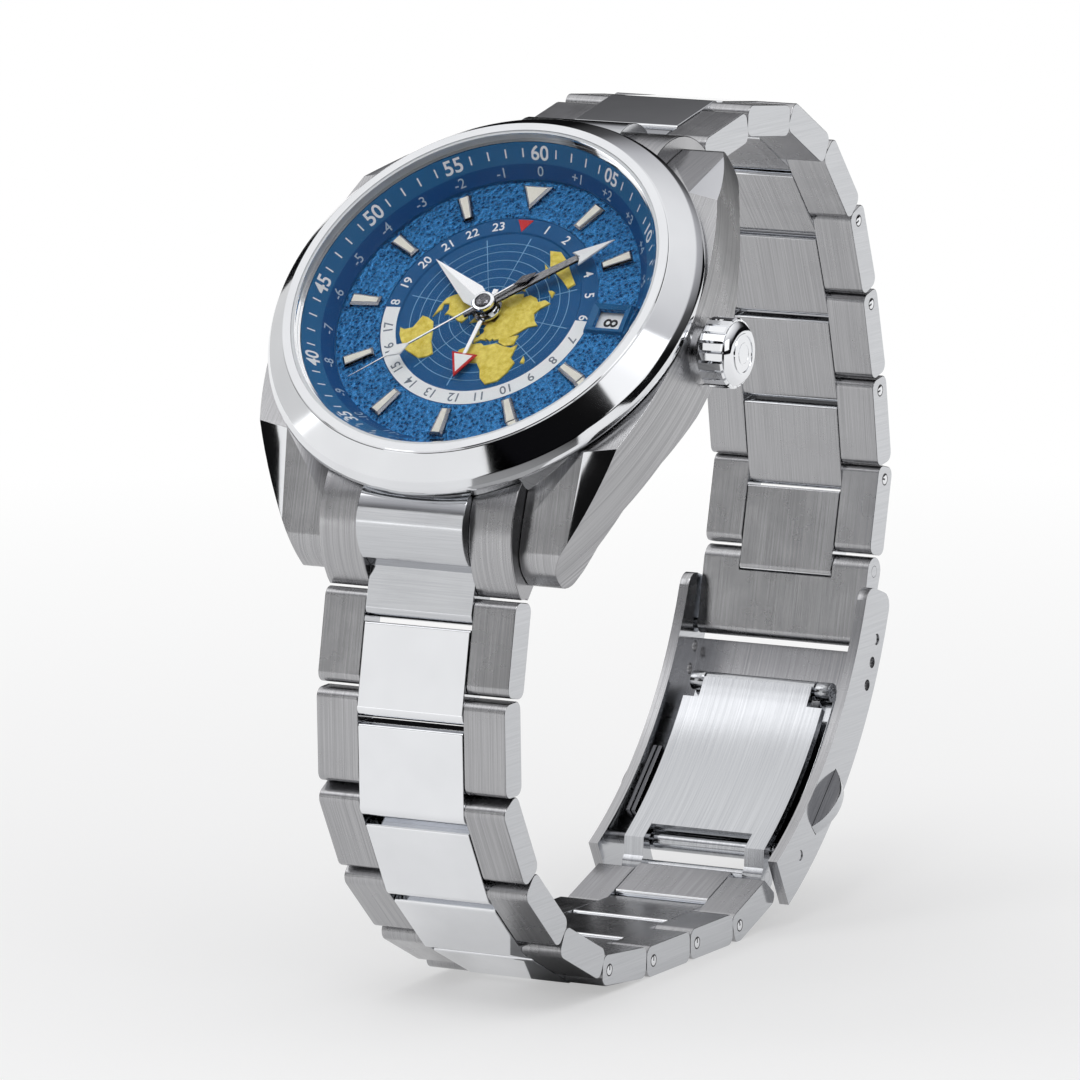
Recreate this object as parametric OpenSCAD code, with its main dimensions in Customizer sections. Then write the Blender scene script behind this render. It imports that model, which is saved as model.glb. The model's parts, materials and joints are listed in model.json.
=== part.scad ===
// GMT watch on a link bracelet with a folding clasp, closed and standing on its lower rows.
// Units are millimetres. X runs from 9 to 3 o'clock, Z is up, the dial looks toward -Y.
// The origin is the middle of the outer face of the row that rests on the table.

/* [Case] */
// outer diameter of the bezel and of the case band
case_d = 42.6; // [42:0.2:43.2]
// height of the case band under the bezel
band_h = 7.7; // [7.4:0.1:8]
// diameter of the clear opening inside the bezel lip
glass_d = 35.4; // [35:0.1:35.6]
// distance between the lugs, which is the width of the bracelet at the case
lug_gap = 20; // [19.6:0.1:20.4]
// width of one lug
lug_w = 3.5; // [3.2:0.1:3.8]
// tip to tip length over the lugs
lug_span = 48.4; // [48:0.1:48.8]
// diameter of the winding crown
crown_d = 6.5; // [6.2:0.1:6.8]

/* [Dial and hands] */
// width of the sloped ring, seen from the front
slope_w = 2.4; // [2.2:0.05:2.6]
// width of the textured band between the sloped ring and the 24-hour disc
dial_band = 4.3; // [4.1:0.05:4.5]
// how far the minute hand ends short of the sloped ring
minute_short = 1.6; // [1.4:0.1:2]
// length of the hour hand from the centre
hour_len = 8.6; // [8.2:0.1:9]

/* [Bracelet] */
// distance from pin to pin of one row
pitch = 9.1; // [9:0.05:9.2]
// thickness of the links
link_t = 3; // [2.9:0.05:3.1]
// width of the centre links as a share of the row width
centre_share = 0.555; // [0.54:0.005:0.57]
// diameter of the hinge pins
pin_d = 1.1; // [1:0.05:1.2]
// how far each front row turns in from the one before it when the clasp is shut
front_curl = [3.9, 12.8, 27.3, 18.3, 16.9, 20.6, 5.1, 0, 19.2];
// how far each rear row, the end piece and the clasp cover turn in
rear_curl = [5.4, 17.6, 22.8, 20.7, 20.5, 5.6, 5.8, 22.4, 2.9, 24.9];

/* [Clasp] */
// width over the side walls of the clasp cover
cover_w = 20.5; // [20.4:0.1:20.8]
// radius of the outer face of the cover
arc_r = 46.5; // [45:0.5:48]
// height of the side walls of the cover
wall_h = 5.3; // [5.1:0.1:5.5]
// thickness of the side walls
wall_t = 1; // [0.9:0.05:1.05]
// how far a push button stands out of the side wall
button_out = 1.5; // [1.3:0.1:1.7]

/* [Hidden] */

$fn = 72;
tiny = 0.02;        // radial clearance of a fixed pin in its hole
run = 0.04;         // radial clearance of a turning fit
half_t = link_t / 2;
pin_r = pin_d / 2;
nose = 1.2;         // how far a link reaches past its pin
corner = 0.9;       // corner radius at the pin ends
free_r = norm([nose - corner, half_t - corner]) + corner;  // circle swept by a nose
tail_r = norm([nose - corner, half_t + 0.1 - corner]) + corner;  // and by the thicker tail of a centre link
case_r = case_d / 2;
pin_y = 26.8;       // first hinge pin: distance from the dial centre along 6 or 12 o'clock
pin_z = -9.45;      // first hinge pin: depth below the dial
first_a = 28.9;     // fall of the end link tail
clasp_row_w = cover_w - 2 * wall_t - 0.5;  // rows that meet the clasp

// small helpers
function dir(a) = [cos(a), sin(a)];
function arc(c, r, a0, a1, n = 5) = [for (i = [0:n]) c + r * dir(a0 + (a1 - a0) * i / n)];
function slab(y0, y1, z0, z1, r0, r1) = concat(
  arc([y0 + r0, z0 + r0], r0, 180, 270), arc([y1 - r1, z0 + r1], r1, 270, 360),
  arc([y1 - r1, z1 - r1], r1, 0, 90), arc([y0 + r0, z1 - r0], r0, 90, 180));
function upto(list, k) = k < 0 ? 0 : list[k] + upto(list, k - 1);
function spot(start, a0, sgn, curls, k) = k < 0 ? start
  : spot(start, a0, sgn, curls, k - 1) + pitch * dir(a0 + sgn * upto(curls, k));
function ang(v) = atan2(v.y, v.x);

function mix(a, b, t) = a + (b - a) * t;

module across(x0, x1) {
  translate([x0, 0, 0]) rotate([90, 0, 90]) linear_extrude(x1 - x0) children();
}
module both(x0, x1) {
  across(x0, x1) children();
  across(-x1, -x0) children();
}
module rod(r, x0, x1) {
  translate([x0, 0, 0]) rotate([0, 90, 0]) cylinder(h = x1 - x0, r = r);
}
module ring(r0, r1, z0, z1) {
  translate([0, 0, z0]) difference() {
    cylinder(h = z1 - z0, r = r1);
    translate([0, 0, -1]) cylinder(h = z1 - z0 + 2, r = r0);
  }
}
module disc(r, z0, z1) {
  translate([0, 0, z0]) cylinder(h = z1 - z0, r = r);
}
module tooth_ring(n, r, depth) {
  polygon([for (i = [0:4 * n - 1]) let (k = i % 4) (k < 2 ? r : r - depth) * dir(i * 90 / n)]);
}
module wheel(n, r, t, hub, spokes = 5) {
  linear_extrude(t) difference() {
    tooth_ring(n, r, 0.22);
    difference() {
      circle(r = r - 0.75);
      circle(r = hub);
      for (i = [0:spokes - 1]) rotate(i * 360 / spokes) translate([0, -0.2]) square([r, 0.4]);
    }
  }
}

// closing the bracelet, worked out in the plane of the watch
start_f = [-pin_y, pin_z];
start_r = [pin_y, pin_z];
front_a0 = 180 + first_a;
rear_a0 = -first_a;
front_end = spot(start_f, front_a0, 1, front_curl, 8);
rear_tail = spot(start_r, rear_a0, -1, rear_curl, 7);
end_len = 6.6;      // end piece: pin to spring bar
end_a = rear_a0 - upto(rear_curl, 8);
bar_at = rear_tail + end_len * dir(end_a);
cover_a = rear_a0 - upto(rear_curl, 9);
knuckle = [27.6, 0]; // closing pivot, in the cover's own plane
function turned(p, a) = [p.x * cos(a) - p.y * sin(a), p.x * sin(a) + p.y * cos(a)];
rear_end = bar_at + turned(knuckle, cover_a);
reach_f = norm(front_end - start_f);
reach_r = norm(rear_end - start_r);
along = (reach_f ^ 2 - reach_r ^ 2 + 4 * pin_y ^ 2) / (4 * pin_y);
meet = start_f + [along, -sqrt(reach_f ^ 2 - along ^ 2)];
fix_f = ang(meet - start_f) - ang(front_end - start_f);
fix_r = ang(meet - start_r) - ang(rear_end - start_r);
function row_a_f(k) = front_a0 + fix_f + upto(front_curl, k);
function row_p_f(k) = spot(start_f, front_a0 + fix_f, 1, front_curl, k - 1);
function row_a_r(k) = rear_a0 + fix_r - upto(rear_curl, k);
function row_p_r(k) = spot(start_r, rear_a0 + fix_r, -1, rear_curl, k - 1);
base_k = 6;         // the row that lies on the table
stand = 360 - row_a_f(base_k);
mid = row_p_f(base_k) + turned([pitch / 2 - 0.05, -half_t], row_a_f(base_k));
shift = -turned(mid, stand);
echo(stand = stand, shift = shift, fix_f = fix_f, fix_r = fix_r);

module world() {
  translate([0, shift.x, shift.y]) rotate([stand, 0, 0]) children();
}
module at_front(k) {
  p = row_p_f(k);
  world() translate([0, p.x, p.y]) rotate([row_a_f(k), 0, 0]) mirror([0, 0, 1]) children();
}
module at_rear(k) {
  p = row_p_r(k);
  world() translate([0, p.x, p.y]) rotate([row_a_r(k), 0, 0]) children();
}
function bar_p() = row_p_r(8) + end_len * dir(row_a_r(8));
module at_cover() {
  p = bar_p();
  world() translate([0, p.x, p.y]) rotate([row_a_r(9), 0, 0]) children();
}

// bracelet rows
function row_w(k, n) = k < 0 ? lug_gap + 0.08 : lug_gap - (lug_gap - clasp_row_w) * min(1, (k + 0.5) / n);
function centre_half(w) = w * centre_share / 2;
tail_gap = 0.06;
// the pins of the rows that can be taken out show at the sides, those of the fixed rows end under them
module link_row(k, n, shown, cut = false) {
  w = row_w(k, n) / 2;
  lid = shown ? -1 : 0.8;
  c = centre_half(row_w(k, n));
  cn = centre_half(row_w(k - 1, n));
  side_end = pitch - free_r - tail_gap;
  difference() {
    union() {
      color("silver") both(c + 0.05, w)
        polygon(slab(-nose - 0.1, side_end, -half_t, half_t, corner, corner));
      color("gainsboro") across(-c, c)
        polygon(slab(free_r + tail_gap, pitch + nose, -half_t, half_t + 0.1, 0.25, corner));
    }
    rod(pin_r + tiny, lid - w - 0.02, w - lid + 0.02);
    translate([0, pitch, 0]) rod(pin_r + run, -c - 0.02, c + 0.02);
    translate([0, 4.4, 0]) rod(0.5 + tiny, -w + 1.2, w - 1.2);
    if (cn > c) both(c - 1, cn + 0.05) circle(r = free_r + tail_gap);
    if (cut) {
      translate([0, pitch, 0]) rotate([-34, 0, 0]) {
        translate([-c - 0.02, -0.9, -9]) cube([2 * c + 0.04, 9, 18]);
        for (s = [-1, 1]) translate([s * (c + 5.02) - 5, -1.65, -9]) cube([10, 9, 18]);
      }
    }
  }
  color("darkgray") rod(pin_r, max(lid, 0) - w, w - max(lid, 0));
  color("darkgray") translate([0, 4.4, 0]) rod(0.5, -w + 1.25, w - 1.25);
}
module front_row(k) {
  at_front(k) link_row(k, 9, k > 4, k == 8);
}
module rear_row(k) {
  at_rear(k) link_row(k, 8, k > 3);
}

// clasp, drawn in the plane of the cover: origin at the spring bar, y toward the lower end
bar_in = 1.591;     // the spring bar lies this far inside the outer face
arc_c = [14, -sqrt((arc_r - bar_in) ^ 2 - 14 ^ 2)];
plate_t = 0.6;
leaf_t = 0.8;       // thickness of the blades
outer_in = 1.7;     // the outer blade lies this far inside the outer face
inner_in = 3.7;     // and the inner blade this far
function pol(r, b) = arc_c + r * [sin(b), cos(b)];
function strip(r0, r1, b0, b1, n = 14) = concat(
  [for (i = [0:n]) pol(r0, b0 + (b1 - b0) * i / n)], [for (i = [n:-1:0]) pol(r1, b0 + (b1 - b0) * i / n)]);
bar_b = -asin(14 / norm(arc_c));
bar_rad = norm(arc_c);
hinge_1 = [24.8, 0];
hinge_2 = pol(arc_r - 3.2, -10);
bar_r = 0.5;
button_b = 5.2;     // where the buttons sit round the arc
button_rad = arc_r - 2.5;
button_half = 3.5;
cover_in = cover_w / 2 - wall_t;
blade_half = cover_in - 1.65;
tongue = blade_half - 1.7;  // half the width of the inner blade at its folding hinge
ear_in = blade_half - 2.1;
wall_from = -24.1;
wall_to = 19.8;
wall_nose = 1.5;    // corner radius at the upper end of the side walls

nose_b = wall_nose / arc_r * 180 / PI;

module spot_rod(p, r, x0, x1) {
  translate([0, p.x, p.y]) rod(r, x0, x1);
}
module button_slot(extra) {
  p = pol(button_rad, button_b);
  translate([0, p.x, p.y]) rotate([-button_b, 0, 0])
    translate([-20, -button_half - extra, -0.6 - extra]) cube([40, 2 * (button_half + extra), 1.2 + 2 * extra]);
}
module cover_parts() {
  color("silver") difference() {
    union() {
      across(-cover_w / 2, cover_w / 2) polygon(strip(arc_r - plate_t, arc_r, bar_b + 1.6, 12.5));
      both(cover_in, cover_w / 2) polygon(concat(
        strip(arc_r - wall_h, arc_r, wall_from + nose_b, wall_to),
        arc(pol(arc_r - wall_nose, wall_from + nose_b), wall_nose, 90 - wall_from, 180 - wall_from),
        arc(pol(arc_r - wall_h + wall_nose, wall_from + nose_b), wall_nose, 180 - wall_from, 270 - wall_from)));
    }
    for (i = [0:2]) spot_rod(pol(bar_rad, bar_b + 3 * i), bar_r + 0.06, -20, 20);
    spot_rod(hinge_1, bar_r + tiny, -20, 20);
    button_slot(0.06);
  }
  color("gray") spot_rod(hinge_1, bar_r, -cover_w / 2 + 0.1, cover_w / 2 - 0.1);
}
module blade_a_parts() {
  color("lightgray") difference() {
    union() {
      across(-blade_half, blade_half)
        polygon(strip(arc_r - outer_in - leaf_t, arc_r - outer_in, 13.6, -10));
      spot_rod(hinge_1, 0.92, -blade_half, blade_half);
      spot_rod(hinge_2, 0.95, -blade_half, blade_half);
    }
    spot_rod(hinge_1, bar_r + run, -20, 20);
    spot_rod(hinge_2, bar_r + tiny, -20, 20);
    across(-tongue - 0.2, tongue + 0.2) polygon(strip(arc_r - 5.5, arc_r - 0.5, -7.6, -13));
  }
  color("gray") spot_rod(hinge_2, bar_r, -blade_half, blade_half);
}
module blade_b_parts() {
  ear = 1.3;
  r1 = arc_r - inner_in;
  r0 = r1 - leaf_t;
  color("lightgray") difference() {
    union() {
      across(-blade_half, blade_half) polygon(strip(r0, r1, 13.8, -7));
      across(-tongue, tongue) polygon(strip(r0, r1, -6.9, -10));
      spot_rod(hinge_2, 0.95, -tongue, tongue);
      across(-tongue, tongue) polygon([pol(r0, -10), pol(r0, -9), pol(r1 + 0.2, -9), pol(r1 + 0.2, -10)]);
      both(ear_in, blade_half)
        polygon(concat([pol(r0, 13), pol(r0, 16.5)], arc(knuckle, ear, -100, 170, 14), [pol(r1, 15.6), pol(r1, 13)]));
    }
    spot_rod(hinge_2, bar_r + run, -20, 20);
    spot_rod(knuckle, pin_r + tiny, -20, 20);
  }
  color("gray") spot_rod(knuckle, pin_r, -blade_half, blade_half);
}
module end_piece_parts() {
  w = clasp_row_w / 2;
  c = centre_half(row_w(7, 8)) + 0.06;
  r0 = 1.4;
  r1 = 0.92;
  color("silver") difference() {
    across(-w, w) polygon(concat(arc([end_len, 0], r1, -85, 85, 8), arc([0, 0], r0, 85, 275, 10)));
    across(-c, c) circle(r = tail_r + tail_gap);
    across(-c, c) translate([-3, -3]) square([3, 6]);
    rod(pin_r + tiny, -20, 20);
    translate([0, end_len, 0]) rod(bar_r + tiny, -20, 20);
  }
  color("gray") rod(pin_r, -w, w);
  color("gray") translate([0, end_len, 0]) rod(bar_r, -cover_w / 2 + 0.15, cover_w / 2 - 0.15);
}
module button_parts() {
  p = pol(button_rad, button_b);
  rad = (button_half ^ 2 + button_out ^ 2) / (2 * button_out);
  color("silver") translate([0, p.x, p.y]) rotate([-button_b, 0, 0]) union() {
    intersection() {
      translate([cover_w / 2 - 2, -button_half, -0.6]) cube([6, 2 * button_half, 1.2]);
      translate([cover_w / 2 + button_out - rad, 0, -1]) cylinder(h = 2, r = rad, $fn = 96);
      translate([cover_in - 0.3, -9, -1]) cube([9, 18, 2]);
    }
    translate([cover_in - 0.5, -button_half - 0.5, -1]) cube([0.44, 2 * button_half + 1, 2]);
    translate([cover_in - 0.3, -button_half, -0.6]) cube([wall_t, 2 * button_half, 1.2]);
  }
}

// the head, drawn with z = 0 on the dial and y toward 12 o'clock
dial_t = 0.4;
lip_z = 4.05;
band_top = 0.3;
band_low = band_top - band_h;
tip_y = lug_span / 2;
tip_x = lug_gap / 2 + lug_w;
bar_y = 22.3;
bar_z = -6.7;
neck_r = case_r - 0.7;     // round part of the case under the bezel
flank_x = case_r - 0.3;    // and its flat sides at 3 and 9 o'clock
glass_r = glass_d / 2;
lip_r = glass_r + 1.2;
bore_r = glass_r - 0.3;
foot_r = bore_r + 1;
dial_r = bore_r - slope_w;
disc_r = dial_r - dial_band;
marker_r = dial_r - 2.2;
minute_len = dial_r - minute_short;
sill_r = dial_r + 1.3;     // ledge that carries the dial and the sloped ring
seat_r = sill_r + 1;       // bore that takes the movement and the case back
plate_r = seat_r - 3.1;
crown_z = -3.7;

module turned_body(pts) {
  rotate_extrude() polygon(pts);
}
// one flank runs in a single arc from lug tip to lug tip
flank_r = (tip_y ^ 2 + (flank_x - tip_x) ^ 2) / (2 * (flank_x - tip_x));
module case_plan() {
  difference() {
    intersection() {
      translate([flank_x - flank_r, 0]) circle(r = flank_r, $fn = 180);
      translate([flank_r - flank_x, 0]) circle(r = flank_r, $fn = 180);
      square([3 * case_r, 2 * tip_y + 2], center = true);
    }
    for (m = [-1, 1]) translate([0, m * (12 + 10)]) square([lug_gap + 0.16, 20], center = true);
  }
}
function side_half() = concat([[tip_y - 9.4, band_top - 0.05]], arc([tip_y - 3.3, -7], 3.3, 52, 0),
  arc([tip_y - 0.8, -7.9], 0.8, 0, -110), [[tip_y - 2.2, -8.2], [tip_y - 4.2, -7.1], [tip_y - 7.7, -6.15],
  [tip_y - 13.2, -6.2], [5, band_low + 0.3], [0, band_low + 0.1]]);
module case_side() {
  side = side_half();
  n = len(side);
  polygon(concat(side, [for (i = [n - 2:-1:0]) [-side[i].x, side[i].y]]));
}
// all that lies above the plane through p with the normal v
module above(p, v) {
  translate(p) rotate([0, acos(v.z / norm(v)), atan2(v.y, v.x)]) translate([-20, -20, 0]) cube([40, 40, 20]);
}
// each lug has a ridge that runs from the bezel to its inner front corner
ridge = [15.5, -14.7, band_top];
module lug_facets() {
  for (i = [0, 1]) for (j = [0, 1]) mirror([i, 0, 0]) mirror([0, j, 0]) intersection() {
    union() {
      above(ridge, [0.1, -0.5, 0.86]);
      above(ridge, [-0.12, -0.41, 0.9]);
    }
    translate([5, -35, -12]) cube([25, 25, 20]);
  }
}
module mid_case() {
  world() color("silver") difference() {
    union() {
      turned_body([[sill_r, band_top], [neck_r - 0.2, band_top], [neck_r, band_top - 0.2], [neck_r, -5.4],
        [neck_r - 0.5, -6.4], [mix(seat_r, neck_r, 0.6), band_low], [seat_r, band_low], [seat_r, -0.42], [sill_r, -0.42]]);
      difference() {
        intersection() {
          translate([0, 0, -12]) linear_extrude(14) case_plan();
          across(-case_r, case_r) case_side();
        }
        lug_facets();
      }
    }
    translate([0, 0, -20.42]) cylinder(h = 20, r = seat_r);
    translate([0, 0, -0.43]) cylinder(h = 5, r = sill_r);
    for (m = [-1, 1]) translate([0, m * bar_y, bar_z]) rod(0.75 + tiny, -lug_gap / 2 - 2, lug_gap / 2 + 2);
    translate([0, 0, crown_z]) rod(1.5, seat_r - 2, case_r + 4);
    translate([0, 0, crown_z]) rod(3.1, case_r - 0.5, case_r + 4);
  }
}
module bezel() {
  world() color("white") turned_body([[glass_r + 0.3, lip_z], [lip_r - 0.2, lip_z], [lip_r, lip_z - 0.13],
    [mix(lip_r, case_r, 0.42), lip_z - 1.03], [mix(lip_r, case_r, 0.8), lip_z - 2], [case_r, lip_z - 2.75],
    [case_r, lip_z - 3.35], [case_r - 0.25, band_top + 0.1], [foot_r, band_top + 0.1], [foot_r, band_top + 0.02],
    [bore_r, band_top + 0.02], [bore_r, 2.9], [glass_r + 0.3, 2.9]]);
}
module crystal() {
  world() color("lightcyan") turned_body([[0, 2.93], [glass_r, 2.93], [glass_r, 4.0], [glass_r - 0.2, 4.15], [0, 4.15]]);
}
module gaskets() {
  world() color("black") {
    ring(glass_r + 0.01, glass_r + 0.29, 2.92, 3.95);
    ring(seat_r + 0.01, seat_r + 0.7, band_low - 0.38, band_low - 0.01);
  }
}
module chapter_ring() {
  world() color("steelblue") turned_body([[dial_r, 0.01], [dial_r, 0.35], [bore_r - 0.2, 2.86], [bore_r - 0.02, 2.86],
    [bore_r - 0.02, band_top + 0.03], [sill_r - 0.02, band_top + 0.03], [sill_r - 0.02, 0.01]]);
}
window_x = dial_r - 2.45;
module dial() {
  world() color("royalblue") difference() {
    disc(sill_r - 0.1, -dial_t, 0);
    disc(disc_r + 0.05, -0.2, 1);
    disc(1.5, -1, 1);
    translate([window_x - 1.35, -1.05, -1]) cube([2.7, 2.1, 2]);
  }
}
module marker() {
  translate([0, 0, 0.01]) linear_extrude(0.45) polygon([[-1.5, -0.5], [1.5, -0.72], [1.5, 0.72], [-1.5, 0.5]]);
}
module hour_markers() {
  world() {
    color("white") for (h = [1, 2, 4, 5, 6, 7, 8, 9, 10, 11])
      rotate(90 - 30 * h) translate([marker_r, 0, 0]) marker();
    color("silver") rotate(90) translate([marker_r + 0.2, 0, 0.01]) linear_extrude(0.5)
      polygon([[-1.6, 0], [1.2, -1.7], [1.2, 1.7]]);
    color("silver") translate([window_x, 0, 0.01]) linear_extrude(0.35) difference() {
      square([4, 3.2], center = true);
      square([2.7, 2.1], center = true);
    }
  }
}
module map_disc() {
  world() {
    color("navy") ring(1.55, disc_r, -0.19, -0.06);
    color("gold") for (i = [0:5]) rotate(i * 60 + 12) translate([0, 0, -0.06]) linear_extrude(0.1)
      polygon([for (j = [0:9]) (i % 2 == 0 ? 1 : 0.85) * (4.6 + 2.4 * cos(j * 36) + 0.4 * cos(j * 108)) * dir(-20 + 4.2 * 9 * sin(j * 36) / 2)]);
  }
}
module case_back() {
  world() color("silver") difference() {
    turned_body([[0, band_low - 1.5], [seat_r - 0.9, band_low - 1.5], [seat_r + 0.9, band_low - 1], [seat_r + 0.9, band_low - 0.4],
      [seat_r - 0.02, band_low - 0.4], [seat_r - 0.02, band_low - 0.03], [seat_r - 0.18, band_low - 0.03], [seat_r - 0.18, band_low + 0.7],
      [seat_r - 1.5, band_low + 0.7], [seat_r - 1.5, band_low - 0.45], [0, band_low - 0.45]]);
    for (i = [0:11]) rotate(i * 30) translate([seat_r + 0.1, 0, band_low - 1.8]) cylinder(h = 1, r = 0.6, $fn = 24);
  }
}
module movement_ring() {
  world() color("silver") difference() {
    turned_body([[plate_r + 0.02, -dial_t - 0.01], [seat_r - 0.02, -dial_t - 0.03], [seat_r - 0.02, -6.6],
      [plate_r + 1.2, -6.6], [plate_r + 1.2, -3], [plate_r + 0.02, -3]]);
    translate([0, 0, crown_z]) rod(1.1, 0, 30);
  }
}
module crown_tube() {
  world() color("gold") translate([0, 0, crown_z]) difference() {
    union() {
      rod(1.48, seat_r + 0.1, case_r + 2.2);
      rod(2.2, case_r - 0.49, case_r + 0.3);
    }
    rod(1.02, 0, 40);
  }
}
module crown() {
  x0 = case_r + 0.36;
  world() color("silver") translate([0, 0, crown_z]) difference() {
    union() {
      translate([x0 + 0.1, 0, 0]) rotate([0, 90, 0]) linear_extrude(2.5)
        polygon([for (i = [0:83]) (crown_d / 2 - 0.16 + 0.16 * cos(i * 14 * 360 / 84)) * dir(i * 360 / 84)]);
      translate([x0 + 2.6, 0, 0]) rotate([0, 90, 0]) rotate_extrude()
        polygon([[0, 0], [crown_d / 2 - 0.3, 0], [crown_d / 2 - 0.9, 0.6], [crown_d / 2 - 1.4, 0.62], [0, 0.75]]);
      rod(crown_d / 2 - 0.5, x0, x0 + 0.1);
    }
    rod(2.26, x0 - 1, x0 + 0.3);
    rod(1.53, x0 - 1, x0 + 2.1);
  }
}
module stem() {
  world() color("gray") translate([0, 0, crown_z]) union() {
    rod(0.6, 9.5, case_r + 2.45);
    rod(0.98, 15.6, case_r + 2.1);
    translate([10.2, 0, 0]) rotate([0, 90, 0]) linear_extrude(1.6) tooth_ring(12, 1.1, 0.2);
  }
}
// wheel positions, heights and radii
third_p = 3.853 * dir(75);
great_p = third_p + 4.82 * dir(-20);
barrel_p = great_p + 5.12 * dir(80);
esc_p = 3.67 * dir(190);
fork_p = esc_p + 2.9 * dir(212);
bal_p = fork_p + 2.3 * dir(212);
module bores(z0, z1, extra = 0.3) {
  for (p = [great_p, third_p, barrel_p, esc_p, fork_p, bal_p, [0, 0]])
    translate([p.x, p.y, z0]) cylinder(h = z1 - z0, r = extra, $fn = 32);
}
module arbor(p, z0, z1, r = 0.26) {
  translate([p.x, p.y, z0]) cylinder(h = z1 - z0, r = r, $fn = 32);
}
module main_plate() {
  world() color("gainsboro") difference() {
    union() {
      disc(plate_r, -2.9, -1.0);
      ring(3.6, dial_r - 4.8, -1.0, -dial_t - 0.01);
    }
    disc(0.95, -5, 0);
    bores(-4, 0);
    translate([0, 0, crown_z]) rod(1.3, 8.6, 20);
  }
}
module train_bridge() {
  world() color("silver") difference() {
    union() {
      disc(plate_r - 0.6, -5.6, -4.9);
      for (a = [20, 100, 150, 285, 330]) rotate(a) translate([plate_r - 1.6, 0, -5.2]) cylinder(h = 2.29, r = 0.8, $fn = 32);
      disc(1.5, -5.9, -5.3);
      disc(1, -7.15, -5.8);
      disc(1.5, -7.3, -7.1);
    }
    bores(-5.55, -3);
    translate([bal_p.x, bal_p.y, -5.7]) cylinder(h = 3, r = 4.4);
    rotate(203) translate([7, -1.6, -5.7]) cube([9, 3.2, 3]);
  }
}
module balance_cock() {
  world() color("silver") difference() {
    union() {
      translate([0, 0, -5.6]) linear_extrude(0.7) rotate(203)
        polygon([[7.8, -0.7], [9.6, -0.9], [11.2, -1.4], [13.6, -1.4], [13.6, 1.4], [11.2, 1.4], [9.6, 0.9], [7.8, 0.7]]);
      rotate(203) translate([13.3, 0, -5.2]) cylinder(h = 2.29, r = 0.42, $fn = 32);
    }
    bores(-5.55, -3);
  }
}
module rotor() {
  world() color("goldenrod") difference() {
    union() {
      translate([0, 0, -6.5]) linear_extrude(0.4) intersection() {
        circle(r = plate_r - 0.5);
        polygon([[-plate_r, 0.9], [plate_r, 0.9], [plate_r, -plate_r], [-plate_r, -plate_r]]);
      }
      translate([0, 0, -7.4]) linear_extrude(0.9) intersection() {
        difference() {
          circle(r = plate_r - 0.5);
          circle(r = plate_r - 2.8);
        }
        polygon([[-plate_r, -1], [plate_r, -1], [plate_r, -plate_r], [-plate_r, -plate_r]]);
      }
      disc(2.1, -7.05, -5.95);
    }
    disc(1 + run, -9, -5);
    disc(3, -9, -7.05);
  }
}
module balance_wheel() {
  world() color("gold") translate([bal_p.x, bal_p.y, 0]) union() {
    ring(3.3, 3.9, -4.2, -3.75);
    translate([-3.4, -0.25, -4.1]) cube([6.8, 0.5, 0.25]);
    translate([0, 0, -5.55]) cylinder(h = 3.5, r = 0.25, $fn = 32);
    translate([0, 0, -3.9]) cylinder(h = 0.45, r = 0.8, $fn = 32);
  }
}
module hairspring() {
  n = 110;
  world() color("royalblue") translate([bal_p.x, bal_p.y, -4.75]) linear_extrude(0.2) polygon(concat(
    [for (i = [0:n]) (0.55 + 1.5 * i / n) * dir(i * 1440 / n)],
    [for (i = [n:-1:0]) (0.63 + 1.5 * i / n) * dir(i * 1440 / n)]));
  world() color("royalblue") translate([bal_p.x, bal_p.y, 0]) ring(0.27, 0.58, -4.8, -4.5);
}
module pallet_fork() {
  world() color("silver") translate([fork_p.x, fork_p.y, 0]) difference() {
    union() {
      rotate(-58) translate([0, 0, -3.4]) linear_extrude(0.25)
        polygon([[-1.3, 0.88], [-1.1, 0.5], [-0.3, 0.1], [-0.2, -1.5], [0.2, -1.5], [0.3, 0.1], [1.1, 0.5], [1.3, 0.88], [0, 0.5]]);
      translate([0, 0, -3.6]) cylinder(h = 1.5, r = 0.25, $fn = 32);
    }
  }
}
module escape_wheel() {
  world() color("silver") translate([esc_p.x, esc_p.y, 0]) union() {
    translate([0, 0, -3.4]) wheel(15, 2.2, 0.25, 0.6, 4);
    translate([0, 0, -5.5]) cylinder(h = 3.4, r = 0.25, $fn = 32);
    translate([0, 0, -4.4]) linear_extrude(0.7) tooth_ring(8, 0.62, 0.15);
  }
}
module third_wheel() {
  world() color("gold") translate([third_p.x, third_p.y, 0]) union() {
    translate([0, 0, -3.5]) wheel(48, 3.2, 0.25, 0.8);
    translate([0, 0, -5.5]) cylinder(h = 3.4, r = 0.25, $fn = 32);
    translate([0, 0, -4.75]) linear_extrude(1.3) tooth_ring(10, 0.75, 0.18);
  }
}
module great_wheel() {
  world() color("gold") translate([great_p.x, great_p.y, 0]) union() {
    translate([0, 0, -4.75]) wheel(64, 3.9, 0.25, 1.1);
    translate([0, 0, -5.5]) cylinder(h = 3.4, r = 0.25, $fn = 32);
    translate([0, 0, -4.5]) linear_extrude(1.4) tooth_ring(12, 0.9, 0.2);
  }
}
module seconds_wheel() {
  world() color("gold") union() {
    translate([0, 0, -4.25]) wheel(60, 3, 0.25, 0.8);
    disc(0.22, -5.5, 1.5);
    translate([0, 0, -4.1]) linear_extrude(1.1) tooth_ring(9, 0.6, 0.14);
  }
}
module barrel() {
  world() color("gold") translate([barrel_p.x, barrel_p.y, 0]) difference() {
    union() {
      translate([0, 0, -4.45]) cylinder(h = 0.85, r = 3.8);
      translate([0, 0, -4.1]) linear_extrude(0.3) tooth_ring(66, 4.2, 0.22);
      translate([0, 0, -5.5]) cylinder(h = 3.4, r = 0.25, $fn = 32);
    }
  }
}
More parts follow.
